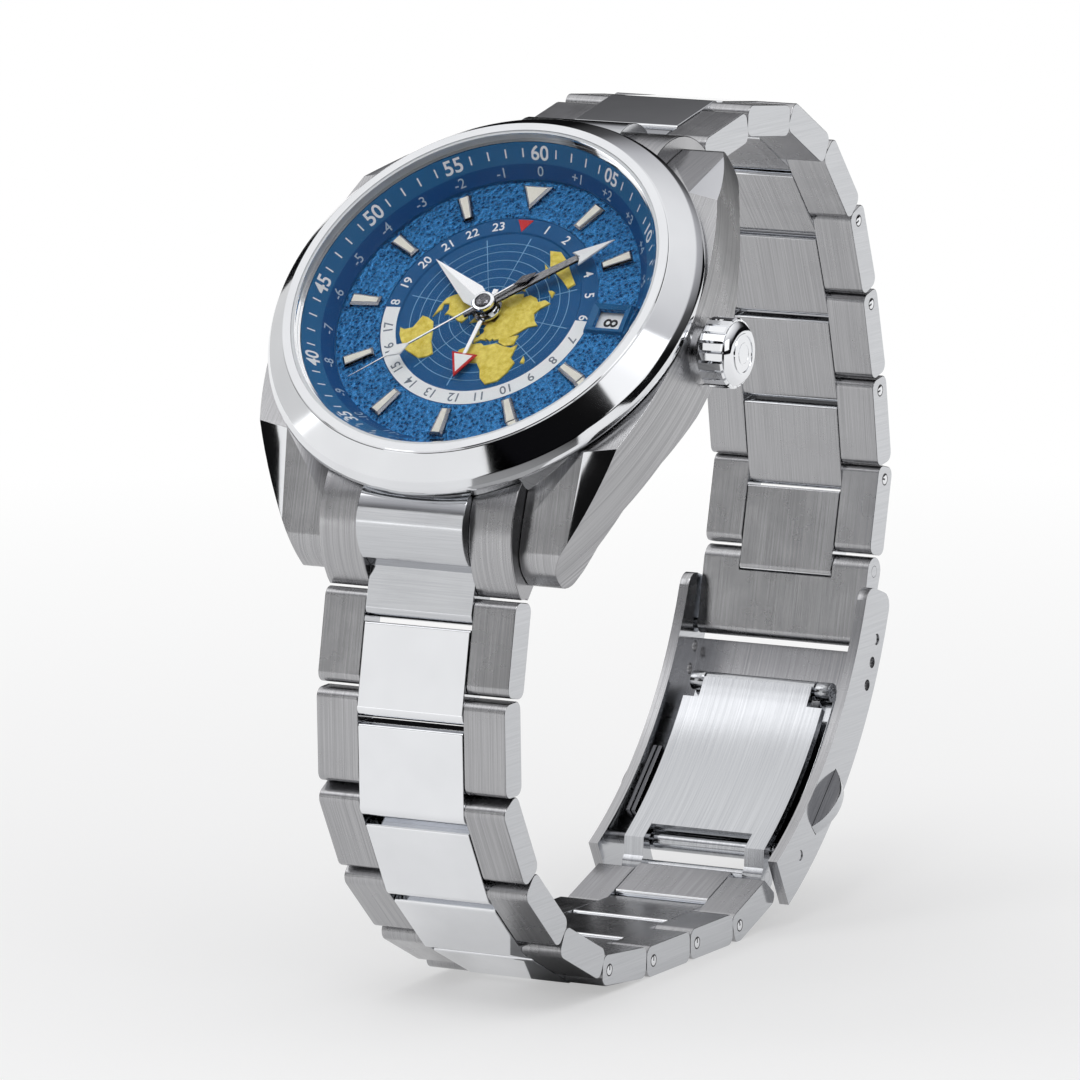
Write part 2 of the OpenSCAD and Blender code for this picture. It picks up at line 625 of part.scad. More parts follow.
module date_ring() {
  world() color("white") translate([0, 0, -0.85]) linear_extrude(0.3) difference() {
    circle(r = dial_r - 1);
    circle(r = dial_r - 4.1);
    for (i = [0:30]) rotate(i * 360 / 31) translate([dial_r - 4.15, 0]) circle(r = 0.35, $fn = 16);
  }
}
module cannon_pinion() {
  world() color("silver") {
    ring(0.22 + run, 0.5, -2.7, 1.16);
    translate([0, 0, -2.7]) linear_extrude(0.6) difference() {
      tooth_ring(12, 0.88, 0.16);
      circle(r = 0.49);
    }
  }
}
module hour_wheel() {
  world() color("gold") {
    ring(0.5 + run, 0.76, -0.95, 0.84);
    translate([0, 0, -0.95]) linear_extrude(0.18) difference() {
      tooth_ring(40, 3.3, 0.2);
      circle(r = 0.75);
    }
  }
}
module gmt_wheel() {
  world() color("gold") {
    ring(0.76 + run, 1.1, -0.7, 0.52);
    translate([0, 0, -0.7]) linear_extrude(0.18) difference() {
      tooth_ring(44, 3.3, 0.2);
      circle(r = 1.09);
    }
  }
}
// hands: a points at the time 10:08:38
hour_a = 304.3;
minute_a = 51.8;
second_a = 228;
gmt_a = 184;
module hand_at(a, z, t) {
  world() rotate(-a) translate([0, 0, z]) linear_extrude(t) children();
}
module hour_hand() {
  color("white") hand_at(hour_a, 0.62, 0.2) difference() {
    union() {
      polygon([[-0.35, -1.6], [0.35, -1.6], [1.15, 2.2], [0, hour_len], [-1.15, 2.2]]);
      circle(r = 1.15);
    }
    circle(r = 0.76 + 0.01);
  }
}
module minute_hand() {
  color("dimgray") hand_at(minute_a, 0.94, 0.2) difference() {
    union() {
      polygon([[-0.4, -2.2], [0.4, -2.2], [0.75, 0], [0.62, 9.4], [0.95, 9.6], [0, minute_len], [-0.95, 9.6],
        [-0.62, 9.4], [-0.75, 0]]);
      circle(r = 0.95);
    }
    circle(r = 0.5 + 0.01);
  }
}
module gmt_hand() {
  color("red") hand_at(gmt_a, 0.3, 0.2) difference() {
    polygon([[-0.3, -2.2], [0.3, -2.2], [1.5, -0.6], [1.5, 0.6], [0.28, 1.4], [0.22, 5.2], [1.35, 5.2], [0, 7.9], [-1.35, 5.2],
      [-0.22, 5.2], [-0.28, 1.4], [-1.5, 0.6], [-1.5, -0.6]]);
    circle(r = 1.1 + 0.01);
  }
}
module seconds_hand() {
  color("white") difference() {
    union() {
      hand_at(second_a, 1.3, 0.14)
        polygon([[-0.2, -5.2], [0, -5.6], [0.2, -5.2], [0.45, -4.2], [0.12, -3.2], [0.12, 7.7], [0.7, 9], [0.12, 10.3],
          [0, 14.2], [-0.12, 10.3], [-0.7, 9], [-0.12, 7.7], [-0.12, -3.2], [-0.45, -4.2]]);
      world() turned_body([[0, 1.22], [1.1, 1.22], [1.1, 1.66], [0.7, 1.8], [0, 1.8]]);
    }
    world() disc(0.23, 1.1, 1.52);
  }
}

// end links and spring bars
function tail_points() = [for (q = concat([[-3.4, half_t + 0.1]], arc([nose - corner, half_t + 0.1 - corner], corner, 90, 0),
  arc([nose - corner, corner - half_t], corner, 0, -90), [[-2.6, -half_t]])) [pin_y, pin_z] + turned(q, -first_a)];
module end_link() {
  c = centre_half(lug_gap);
  difference() {
    union() {
      both(c + 0.01, lug_gap / 2) polygon(concat([[12, -8.9], [12, -0.6], [18.6, -0.6]],
        arc([pin_y - 9.4, -9.1], 8.6, 78, 4, 9), [[pin_y - 1.3, -9.1]]));
      across(-c - 0.02, c + 0.02) polygon(concat([[12, -8.9], [12, -0.3], [20.8, -0.3]],
        arc([pin_y - 6.55, -5], 4.75, 79, 4, 8), [[pin_y - 2.2, -5.3]], tail_points()));
    }
    translate([0, 0, -12]) cylinder(h = 20, r = neck_r + 0.04, $fn = 144);
    both(c + 0.02, lug_gap / 2 + 2) translate([pin_y, pin_z]) circle(r = free_r + tail_gap);
    translate([0, pin_y, pin_z]) rod(pin_r + run, -20, 20);
    translate([0, bar_y, bar_z]) rod(0.75 + tiny, -20, 20);
  }
}
module end_link_front() {
  world() color("silver") mirror([0, 1, 0]) end_link();
}
module end_link_rear() {
  world() color("silver") end_link();
}
module spring_bars() {
  world() color("gray") for (m = [-1, 1]) translate([0, m * bar_y, bar_z]) union() {
    rod(0.75, -lug_gap / 2 + 0.05, lug_gap / 2 - 0.05);
    rod(0.55, -lug_gap / 2 - 1.6, lug_gap / 2 + 1.6);
  }
}

mid_case();
bezel();
crystal();
gaskets();
chapter_ring();
dial();
hour_markers();
map_disc();
case_back();
movement_ring();
crown_tube();
crown();
stem();
main_plate();
train_bridge();
balance_cock();
rotor();
balance_wheel();
hairspring();
pallet_fork();
escape_wheel();
third_wheel();
great_wheel();
seconds_wheel();
barrel();
date_ring();
cannon_pinion();
hour_wheel();
gmt_wheel();
hour_hand();
minute_hand();
gmt_hand();
seconds_hand();
end_link_front();
end_link_rear();
spring_bars();
front_row(0);  // front_row_1
front_row(1);  // front_row_2
front_row(2);  // front_row_3
front_row(3);  // front_row_4
front_row(4);  // front_row_5
front_row(5);  // front_row_6
front_row(6);  // front_row_7
front_row(7);  // front_row_8
front_row(8);  // front_row_9
rear_row(0);  // rear_row_1
rear_row(1);  // rear_row_2
rear_row(2);  // rear_row_3
rear_row(3);  // rear_row_4
rear_row(4);  // rear_row_5
rear_row(5);  // rear_row_6
rear_row(6);  // rear_row_7
rear_row(7);  // rear_row_8
at_rear(8) end_piece_parts();  // clasp_end_piece
at_cover() cover_parts();  // clasp_cover
at_cover() blade_a_parts();  // outer_blade
at_cover() blade_b_parts();  // inner_blade
at_cover() button_parts();  // button_right
at_cover() mirror([1, 0, 0]) button_parts();  // button_left
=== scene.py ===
# %% [markdown]
# # A travel watch on a steel link bracelet
# The CAD model is loaded first and stays as it is. Every piece of this lesson is dressed or
# rebuilt on top of it, in metres, where the CAD model says it belongs.

# %% Load the watch
import math
import json
import bpy
import bmesh
from mathutils import Matrix, Vector


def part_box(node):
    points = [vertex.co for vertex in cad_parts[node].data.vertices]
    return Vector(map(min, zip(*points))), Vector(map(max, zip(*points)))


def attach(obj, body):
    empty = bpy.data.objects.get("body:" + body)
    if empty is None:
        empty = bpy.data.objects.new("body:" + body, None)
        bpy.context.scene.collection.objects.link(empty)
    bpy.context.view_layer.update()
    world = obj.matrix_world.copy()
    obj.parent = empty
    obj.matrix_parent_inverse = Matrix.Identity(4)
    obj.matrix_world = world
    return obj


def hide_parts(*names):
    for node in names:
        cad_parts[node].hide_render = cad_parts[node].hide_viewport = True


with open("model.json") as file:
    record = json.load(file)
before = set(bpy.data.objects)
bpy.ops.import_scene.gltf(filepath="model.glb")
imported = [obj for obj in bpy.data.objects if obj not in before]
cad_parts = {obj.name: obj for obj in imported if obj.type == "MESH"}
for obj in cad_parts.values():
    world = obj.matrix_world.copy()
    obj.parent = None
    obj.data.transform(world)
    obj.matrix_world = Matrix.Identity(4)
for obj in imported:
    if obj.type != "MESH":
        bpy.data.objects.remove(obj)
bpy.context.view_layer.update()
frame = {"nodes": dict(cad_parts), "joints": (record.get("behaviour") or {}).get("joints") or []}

# %% [markdown]
# The dial has its own plane. It leans back, so the pieces on the head are drawn flat round the
# middle of the dial and then turned and lifted into place. The joint of the minute hand gives
# both: its place is the middle of the dial, and its axis points into the dial.

# %% Find the plane of the dial
MM = 0.001
joint = {j["name"]: j for j in frame["joints"]}
minute = joint["minute_turn"]
dial_centre = Vector(minute["pos_m"])
dial_out = -Vector(minute["axis"]).normalized()
across = Vector((1, 0, 0))
head_turn = Matrix((across, dial_out.cross(across), dial_out)).transposed()
HEAD = Matrix.Translation(dial_centre) @ head_turn.to_4x4()
lean = math.acos(dial_out.z)
print("dial centre", [round(v / MM, 2) for v in dial_centre], "leans", round(math.degrees(lean), 1))

# %% [markdown]
# The camera stands in front, to the right and a little above, far away with a long lens, as it
# does in a product photograph. Its numbers come from fitting the circles of the dial.

# %% Place the camera
TURN, RISE = math.radians(28.3484), math.radians(9.3727)
LENS_MM, SENSOR_MM = 304.756, 36
SIDEWAYS, DROP, DISTANCE = 4.6854, 20.9712, 839.598
right = Vector((math.cos(TURN), math.sin(TURN), 0))
back = Vector((math.sin(TURN) * math.cos(RISE), -math.cos(TURN) * math.cos(RISE), math.sin(RISE)))
up = back.cross(right)
lens_data = bpy.data.cameras.new("camera")
lens_data.lens = LENS_MM
lens_data.sensor_width = SENSOR_MM
lens_data.clip_end = 20
camera = bpy.data.objects.new("camera", lens_data)
bpy.context.collection.objects.link(camera)
place = dial_centre + (SIDEWAYS * right - DROP * up + DISTANCE * back) * MM
camera.matrix_world = Matrix.Translation(place) @ Matrix((right, up, back)).transposed().to_4x4()
bpy.context.scene.camera = camera
print("camera at", [round(v, 3) for v in place])

# %% [markdown]
# Materials and the studio are node trees. A few small tools keep them short: each adds a node,
# gives its inputs numbers or links, and hands back what the next node needs.

# %% Small tools for shader nodes
def new_material(name):
    mat = bpy.data.materials.new(name)
    mat.use_nodes = True
    return mat, mat.node_tree, mat.node_tree.nodes["Principled BSDF"]

def add_node(tree, kind, inputs, operation=None):
    node = tree.nodes.new("ShaderNode" + kind)
    if operation:
        node.operation = operation
    for slot, value in inputs.items():
        if isinstance(value, bpy.types.NodeSocket):
            tree.links.new(value, node.inputs[slot])
        else:
            node.inputs[slot].default_value = value
    return node

def add_math(tree, operation, *values):
    return add_node(tree, "Math", dict(enumerate(values)), operation).outputs[0]

def add_range(tree, value, low, high, to_low=0.0, to_high=1.0):
    limits = {"Value": value, "From Min": low, "From Max": high, "To Min": to_low, "To Max": to_high}
    return add_node(tree, "MapRange", limits).outputs["Result"]

def add_noise(tree, vector, scale, detail):
    inputs = {"Vector": vector, "Scale": scale, "Detail": detail, "Roughness": 0.6}
    return add_node(tree, "TexNoise", inputs).outputs["Fac"]

def add_bump(tree, height, strength, depth_mm):
    inputs = {"Height": height, "Strength": strength, "Distance": depth_mm * MM}
    return add_node(tree, "Bump", inputs).outputs["Normal"]

print("node tools ready")

# %% [markdown]
# Steel only looks like steel when it has something dark to show beside something bright. The
# studio is a wide white floor under a bright ceiling, with a dark band of room between them and
# five soft boxes. The camera and the mirrors see the floor fade into a plain white card, so only
# the watch's own shadow shows. Mirrors also see a dark gap in it, in front and to the right.

# %% Build the floor
FLOOR_HALF = 8
CARD_NEAR, CARD_FAR, CARD_SHARE = 0.04, 0.30, 0.45
GAP_BEARING, GAP_SPREAD = math.radians(24), math.radians(21)
bpy.context.scene.view_settings.view_transform = "Standard"
floor_mesh = bmesh.new()
bmesh.ops.create_grid(floor_mesh, x_segments=1, y_segments=1, size=FLOOR_HALF)
floor_data = bpy.data.meshes.new("floor")
floor_mesh.to_mesh(floor_data)
floor = bpy.data.objects.new("floor", floor_data)
bpy.context.collection.objects.link(floor)
floor_mat, tree, bsdf = new_material("studio_floor")
floor_data.materials.append(floor_mat)
bsdf.inputs["Base Color"].default_value = (0.88, 0.88, 0.88, 1)
bsdf.inputs["Roughness"].default_value = 0.7
spot = add_node(tree, "TexCoord", {}).outputs["Object"]
path = add_node(tree, "LightPath", {}).outputs
away = add_node(tree, "VectorMath", {0: spot}, "LENGTH").outputs["Value"]
seen = add_math(tree, "MAXIMUM", path["Is Camera Ray"], path["Is Glossy Ray"])
seen = add_math(tree, "MAXIMUM", seen, path["Is Transmission Ray"])
share = add_math(tree, "MULTIPLY", seen, add_range(tree, away, CARD_NEAR, CARD_FAR, CARD_SHARE, 1.0))
split = add_node(tree, "SeparateXYZ", {0: spot}).outputs
bearing = add_math(tree, "ARCTAN2", split["X"], add_math(tree, "MULTIPLY", split["Y"], -1))
gap = add_math(tree, "COMPARE", bearing, GAP_BEARING, GAP_SPREAD)
mirrored = add_math(tree, "MULTIPLY", gap, path["Is Glossy Ray"])
card = add_node(tree, "Emission", {"Strength": add_math(tree, "MULTIPLY_ADD", mirrored, -1, 1)})
blend = add_node(tree, "MixShader", {0: share, 1: bsdf.outputs[0], 2: card.outputs[0]})
tree.links.new(blend.outputs[0], tree.nodes["Material Output"].inputs["Surface"])
print("floor laid,", 2 * FLOOR_HALF, "m wide")

# %% Light the studio
SKY_LEVELS = ((0.30, 0.005), (0.45, 0.08), (0.60, 0.5))
SKY_STRENGTH = 1.15
AIM = Vector((0, 0, 0.05))
world = bpy.data.worlds.new("studio")
bpy.context.scene.world = world
world.use_nodes = True
tree = world.node_tree
split = add_node(tree, "SeparateXYZ", {0: add_node(tree, "TexCoord", {}).outputs["Generated"]})
ramp = add_node(tree, "ValToRGB", {0: split.outputs["Z"]})
sky = ramp.color_ramp
sky.elements[0].position, sky.elements[0].color = 0.0, (0.004, 0.004, 0.005, 1)
sky.elements[1].position, sky.elements[1].color = 0.92, (1, 1, 1, 1)
for height, level in SKY_LEVELS:
    sky.elements.new(height).color = (level, level, level * 1.04, 1)
tree.links.new(ramp.outputs[0], tree.nodes["Background"].inputs["Color"])
tree.nodes["Background"].inputs["Strength"].default_value = SKY_STRENGTH

def soft_box(name, azimuth, height, far, size, radiance):
    data = bpy.data.lights.new(name, "AREA")
    data.shape = "RECTANGLE"
    data.size, data.size_y = size
    data.energy = radiance * math.pi * size[0] * size[1]
    lamp = bpy.data.objects.new(name, data)
    lamp.visible_camera = False
    bpy.context.collection.objects.link(lamp)
    a = math.radians(azimuth)
    where = Vector((far * math.sin(a), -far * math.cos(a), height))
    toward = AIM - where
    lamp.matrix_world = Matrix.Translation(where) @ toward.to_track_quat("-Z", "Y").to_matrix().to_4x4()
    print(name, "at", [round(v, 2) for v in where], "gives", round(data.energy, 2), "W")

soft_box("low_left", -30, 0.20, 0.9, (0.19, 0.50), 0.95)
soft_box("tall_right", 62, 0.42, 0.8, (0.45, 0.45), 1.15)
soft_box("high_left", -60, 0.75, 0.8, (0.5, 0.5), 1.0)
soft_box("front_top", 5, 1.0, 0.5, (0.45, 0.45), 3.5)
soft_box("far_left", -97, 0.11, 0.9, (1.10, 0.16), 0.75)

# %% [markdown]
# Materials come from a few shared recipes, so the same steel looks the same everywhere. A recipe
# is a shader node group: it puts out shades and a normal, and each material does the rest.
# Steel lines are a noise that is stretched along the brushing, and handling is a faint smudge
# that varies the shine. Paint has a fine speck. The dial is hammered: many small cells, each a
# shallow dent, with grit that glints. The dial's colour follows the dents: painted shade where a
# dent sinks and a painted highlight where it rises.

# %% Make the shared recipes
def recipe(name, depth, outputs):
    tree = bpy.data.node_groups.new(name, "ShaderNodeTree")
    kinds = {"Vector": "NodeSocketVector", "Normal": "NodeSocketVector"}
    tree.interface.new_socket(name="Vector", in_out="INPUT", socket_type=kinds["Vector"])
    if depth is not None:
        socket = tree.interface.new_socket(name="Depth", in_out="INPUT", socket_type="NodeSocketFloat")
        socket.default_value = depth
    for label in outputs:
        kind = kinds.get(label, "NodeSocketFloat")
        tree.interface.new_socket(name=label, in_out="OUTPUT", socket_type=kind)
    return tree, tree.nodes.new("NodeGroupInput").outputs, tree.nodes.new("NodeGroupOutput")

def finish_recipe(tree, ends, **results):
    for label, socket in results.items():
        tree.links.new(socket, ends.inputs[label])
    return tree

tree, given, ends = recipe("steel_lines", 0.5, ["Shade", "Normal"])
lines = add_noise(tree, given["Vector"], 1.0, 2)
LINES = finish_recipe(tree, ends, Shade=add_range(tree, lines, 0.32, 0.68),
                      Normal=add_bump(tree, lines, given["Depth"], 0.02))

tree, given, ends = recipe("handling", None, ["Smudge"])
smudge = add_noise(tree, given["Vector"], 0.22, 4)
HANDLING = finish_recipe(tree, ends, Smudge=add_range(tree, smudge, 0.35, 0.7))

tree, given, ends = recipe("paint_speck", 0.3, ["Shade", "Normal"])
speck = add_noise(tree, given["Vector"], 9.0, 3)
SPECK = finish_recipe(tree, ends, Shade=add_range(tree, speck, 0.3, 0.7),
                      Normal=add_bump(tree, speck, given["Depth"], 0.01))

CELLS_PER_MM, WARP_MM, GRIT_SHARE, DENT_MM = 2.4, 0.5, 0.35, 0.34
tree, given, ends = recipe("hammering", 1.0, ["Shade", "Glint", "Normal"])
warp = add_noise(tree, given["Vector"], 1.6, 2)
push = add_node(tree, "VectorMath", {0: warp, 1: [WARP_MM] * 3, 2: given["Vector"]}, "MULTIPLY_ADD")
cells = add_node(tree, "TexVoronoi", {"Vector": push.outputs[0], "Scale": CELLS_PER_MM})
cells.feature = "SMOOTH_F1"
cells.inputs["Smoothness"].default_value = 0.25
grit = add_noise(tree, given["Vector"], 7.0, 2)
dents = add_math(tree, "MULTIPLY_ADD", grit, GRIT_SHARE, cells.outputs["Distance"])
# Shade follows the dents, so the dial's colour is painted shade where a dent sinks and a painted highlight
# where it rises.
HAMMERING = finish_recipe(tree, ends, Shade=add_range(tree, dents, 0.28, 0.68),
                          Glint=add_range(tree, grit, 0.52, 0.68),
                          Normal=add_bump(tree, dents, given["Depth"], DENT_MM))
print("recipes:", [g.name for g in bpy.data.node_groups])

# %% [markdown]
# Each material turns its own coordinates first, so its pattern runs the right way, and then
# places a recipe. Numbers on the coordinates are sizes in millimetres: a brushed face has lines
# that are a tenth of a millimetre wide and centimetres long.

# %% Make the steels
EVEN = (1, 1, 1)
CLEAN, TOUCHED = 0.85, 1.25

def lay_out(tree, size_mm, on_dial=False, radial=False):
    place = tree.nodes.new("ShaderNodeMapping")
    place.vector_type = "TEXTURE"
    if on_dial:
        place.inputs["Location"].default_value = dial_centre
        place.inputs["Rotation"].default_value = (lean, 0, 0)
    place.inputs["Scale"].default_value = [s * MM for s in (EVEN if radial else size_mm)]
    tree.links.new(add_node(tree, "TexCoord", {}).outputs["Object"], place.inputs["Vector"])
    if not radial:
        return place.outputs["Vector"]
    split = add_node(tree, "SeparateXYZ", {0: place.outputs["Vector"]}).outputs
    flat = add_node(tree, "CombineXYZ", {"X": split["X"], "Y": split["Y"]})
    distance = add_node(tree, "VectorMath", {0: flat.outputs[0]}, "LENGTH").outputs["Value"]
    join = add_node(tree, "CombineXYZ", {"X": distance, "Z": split["Z"]})
    scaled = {0: join.outputs[0], 1: [1 / s for s in size_mm]}
    return add_node(tree, "VectorMath", scaled, "MULTIPLY").outputs[0]

def use_recipe(tree, made, vector, **values):
    group = tree.nodes.new("ShaderNodeGroup")
    group.node_tree = made
    tree.links.new(vector, group.inputs["Vector"])
    for label, number in values.items():
        group.inputs[label].default_value = number
    return group.outputs

def shade_colour(tree, factor, low, high):
    mix = tree.nodes.new("ShaderNodeMix")
    mix.data_type = "RGBA"
    mix.inputs["A"].default_value = (*low, 1)
    mix.inputs["B"].default_value = (*high, 1)
    tree.links.new(factor, mix.inputs["Factor"])
    tree.links.new(mix.outputs["Result"], tree.nodes["Principled BSDF"].inputs["Base Color"])

def metal(name, low, high, rough, size_mm, depth=0.0, on_dial=False, radial=False):
    mat, tree, bsdf = new_material(name)
    bsdf.inputs["Metallic"].default_value = 1
    grain = use_recipe(tree, LINES, lay_out(tree, size_mm, on_dial, radial), Depth=depth)
    touch = use_recipe(tree, HANDLING, lay_out(tree, EVEN))
    shade_colour(tree, grain["Shade"], low, high)
    roughness = add_range(tree, touch["Smudge"], 0, 1, rough * CLEAN, rough * TOUCHED)
    tree.links.new(roughness, bsdf.inputs["Roughness"])
    tree.links.new(grain["Normal"], bsdf.inputs["Normal"])
    return mat

polished = metal("polished_steel", (0.80, 0.81, 0.83), (0.84, 0.85, 0.87), 0.06, (6, 6, 6))
bezel_steel = metal("bezel_steel", (0.74, 0.75, 0.77), (0.78, 0.79, 0.81), 0.07, (6, 6, 6))
side_hair = metal("polished_side", (0.54, 0.55, 0.57), (0.60, 0.61, 0.63), 0.12, (6, 9, 0.1), 0.02)
satin = metal("satin_steel", (0.36, 0.36, 0.37), (0.48, 0.48, 0.49), 0.25, (0.08, 14, 14), 0.25)
flank_steel = metal("brushed_flank", (0.31, 0.31, 0.32), (0.53, 0.53, 0.54), 0.30, (40, 30, 0.07), 0.35,
                    on_dial=True)
turned_steel = metal("turned_steel", (0.58, 0.59, 0.61), (0.72, 0.73, 0.75), 0.25, (0.08, 1, 2), 0.3,
                     on_dial=True, radial=True)
inner_steel = metal("inner_steel", (0.46, 0.47, 0.49), (0.56, 0.57, 0.59), 0.16, (0.1, 14, 14), 0.15)
# The batons' steel is much darker than the other polished steel: a painted dark reflection.
baton_steel_painted_dark_reflection = metal("baton_steel_painted_dark_reflection", (0.22, 0.23, 0.26), (0.28, 0.29, 0.32), 0.12, (3, 3, 3))
grey_steel = metal("grey_steel", (0.18, 0.18, 0.19), (0.26, 0.26, 0.27), 0.22, (0.1, 4, 4), 0.2)
black_chrome = metal("black_chrome", (0.10, 0.10, 0.11), (0.14, 0.14, 0.15), 0.1, (3, 3, 3))
gilt = metal("gilt_brass", (0.66, 0.46, 0.16), (0.80, 0.60, 0.26), 0.28, (0.12, 3, 3), 0.3)
blued = metal("blued_steel", (0.03, 0.05, 0.30), (0.05, 0.09, 0.42), 0.2, (2, 2, 2), 0.1)
print("steels and floor:", len(bpy.data.materials))

# %% Make the paints
PAINT_SHINE = 0.12
SMOOTH_SPECK, ROUGH_SPECK = 0.9, 1.15

def paint(name, low, high, rough=0.35, coat=0.0, depth=0.2, speck_mm=1.0):
    mat, tree, bsdf = new_material(name)
    bsdf.inputs["Coat Weight"].default_value = coat
    bsdf.inputs["Specular IOR Level"].default_value = PAINT_SHINE
    speck = use_recipe(tree, SPECK, lay_out(tree, [speck_mm] * 3), Depth=depth)
    shade_colour(tree, speck["Shade"], low, high)
    roughness = add_range(tree, speck["Shade"], 0, 1, rough * SMOOTH_SPECK, rough * ROUGH_SPECK)
    tree.links.new(roughness, bsdf.inputs["Roughness"])
    tree.links.new(speck["Normal"], bsdf.inputs["Normal"])
    return mat

disc_blue = paint("disc_blue", (0.010, 0.085, 0.235), (0.015, 0.105, 0.28), 0.4, depth=0.15)
ring_blue = paint("ring_blue", (0.022, 0.12, 0.28), (0.028, 0.145, 0.33), depth=0.1)
ring_deep = paint("ring_deep", (0.006, 0.060, 0.20), (0.009, 0.075, 0.235), depth=0.1)
line_blue = paint("map_lines", (0.16, 0.38, 0.62), (0.24, 0.48, 0.72), 0.4)
land_yellow = paint("land_yellow", (0.66, 0.50, 0.05), (0.90, 0.77, 0.19), depth=1.0, speck_mm=5.0)
white = paint("white_print", (0.82, 0.84, 0.86), (0.88, 0.90, 0.91), coat=0.2)
pale_print = paint("pale_print", (0.36, 0.48, 0.58), (0.44, 0.56, 0.66), 0.4)
grey_print = paint("grey_print", (0.14, 0.17, 0.22), (0.20, 0.23, 0.28), 0.5)
# The dark paint prints the date figures. It is also the painted shade round and across the bracelet's pin
# heads.
dark = paint("dark_print_and_painted_shade", (0.02, 0.02, 0.025), (0.04, 0.04, 0.045), 0.3, coat=0.3)
red = paint("red_paint", (0.50, 0.012, 0.015), (0.62, 0.02, 0.022), 0.3, coat=0.3)
cream = paint("luminous_cream", (0.80, 0.77, 0.68), (0.88, 0.86, 0.78), 0.5)
nylon = paint("milky_nylon", (0.62, 0.64, 0.66), (0.70, 0.72, 0.74), 0.4, coat=0.1)
print("with the paints:", len(bpy.data.materials))

# %% Make the hammered blue and the glass
hammered, tree, bsdf = new_material("hammered_blue")
dents = use_recipe(tree, HAMMERING, lay_out(tree, EVEN, on_dial=True), Depth=1.0)
# Painted shade and highlight: the blue is darker where a dent sinks and lighter where it rises.
shade_colour(tree, dents["Shade"], (0.002, 0.040, 0.16), (0.05, 0.26, 0.60))
tree.links.new(add_range(tree, dents["Glint"], 0, 1, 0.36, 0.16), bsdf.inputs["Roughness"])
tree.links.new(add_range(tree, dents["Glint"], 0, 1, 0.55, 0.95), bsdf.inputs["Metallic"])
tree.links.new(dents["Normal"], bsdf.inputs["Normal"])
bsdf.inputs["Specular IOR Level"].default_value = 0.2

glass, tree, bsdf = new_material("crystal_glass")
bsdf.inputs["Base Color"].default_value = (1, 1, 1, 1)
bsdf.inputs["Transmission Weight"].default_value = 1.0
bsdf.inputs["IOR"].default_value = 1.08
film = use_recipe(tree, HANDLING, lay_out(tree, EVEN, on_dial=True))
tree.links.new(add_range(tree, film["Smudge"], 0, 1, 0.0, 0.012), bsdf.inputs["Roughness"])
print("hammered blue and glass made")

# %% Dress the CAD nodes
finishes = (
    (polished, "bezel crown crown_tube stem spring_bars button_right button_left"),
    (turned_steel, "case_back main_plate train_bridge"), (inner_steel, "outer_blade inner_blade"),
    (gilt, "third_wheel great_wheel barrel balance_wheel hour_wheel gmt_wheel seconds_wheel rotor"),
    (white, "hour_markers date_ring seconds_hand"), (grey_steel, "minute_hand"), (red, "gmt_hand"),
    (hammered, "dial"), (disc_blue, "map_disc"), (ring_blue, "chapter_ring"), (glass, "crystal"),
    (nylon, "gaskets"), (blued, "hairspring"),
)
wear = {name: finish for finish, names in finishes for name in names.split()}
for name, node in frame["nodes"].items():
    node.data.materials.clear()
    node.data.materials.append(wear.get(name, satin))
print("dressed", len(frame["nodes"]), "nodes")

# %% [markdown]
# Every piece of the bracelet is a block of steel with rounded ends and slightly broken edges.
# A cube is scaled to size, its end edges get a large bevel and all edges that are still sharp
# a small one. The small bevel matters most: it is the bright line along each link.

# %% Small tools for solid pieces
def join_into(whole, part, where=None, slot=0):
    """Move a part into place, give its faces one material slot and add it to the whole."""
    if where is not None:
        bmesh.ops.transform(part, matrix=where, verts=part.verts)
    if slot is not None:
        for face in part.faces:
            face.material_index = slot
    bmesh.ops.recalc_face_normals(part, faces=part.faces)
    loose = bpy.data.meshes.new("loose")
    part.to_mesh(loose)
    part.free()
    whole.from_mesh(loose)
    bpy.data.meshes.remove(loose)

def paint_faces(part, choose):
    part.normal_update()
    for face in part.faces:
        face.material_index = choose(face)

def bevel(part, edges, width, segments=2, clamp=True):
    bmesh.ops.bevel(part, geom=edges, offset=width * MM, offset_type="OFFSET", affect="EDGES",
                    segments=segments, profile=0.5, material=-1, clamp_overlap=clamp)

def soften(part, width, angle):
    """Break every edge that is folded by more than the angle."""
    folded = [e for e in part.edges if e.is_manifold and e.calc_face_angle() > math.radians(angle)]
    bevel(part, [e for e in folded if e.calc_length() > 1e-6], width)

def cut_off(part, point, normal):
    """Keep what lies behind the plane and close the cut."""
    geom = list(part.verts) + list(part.edges) + list(part.faces)
    made = bmesh.ops.bisect_plane(part, geom=geom, dist=1e-7, plane_co=point, plane_no=normal,
                                  clear_outer=True)
    rim = [g for g in made["geom_cut"] if isinstance(g, bmesh.types.BMEdge)]
    bmesh.ops.triangle_fill(part, use_beauty=True, use_dissolve=True, edges=rim)

def block(low, high, start_round, end_round, edge, cut=None):
    low, high = Vector(low) * MM, Vector(high) * MM
    part = bmesh.new()
    bmesh.ops.create_cube(part, size=1.0)
    bmesh.ops.scale(part, vec=high - low, verts=part.verts)
    bmesh.ops.translate(part, vec=(high + low) / 2, verts=part.verts)
    for y, size in ((low.y, start_round), (high.y, end_round)):
        ends = [e for e in part.edges if all(abs(v.co.y - y) < 1e-7 for v in e.verts)
                and abs(e.verts[0].co.x - e.verts[1].co.x) > 1e-6]
        if size:
            bevel(part, ends, size, 6, False)
    if cut:
        cut_off(part, *cut)
    soften(part, edge, 25)
    return part

def pin_part(radius, x0, x1, edge):
    part = bmesh.new()
    bmesh.ops.create_cone(part, cap_ends=True, segments=32, radius1=radius * MM, radius2=radius * MM,
                          depth=(x1 - x0) * MM)
    bmesh.ops.rotate(part, matrix=Matrix.Rotation(math.pi / 2, 3, "Y"), verts=part.verts)
    bmesh.ops.translate(part, vec=Vector(((x0 + x1) / 2, 0, 0)) * MM, verts=part.verts)
    soften(part, edge, 40)
    return part

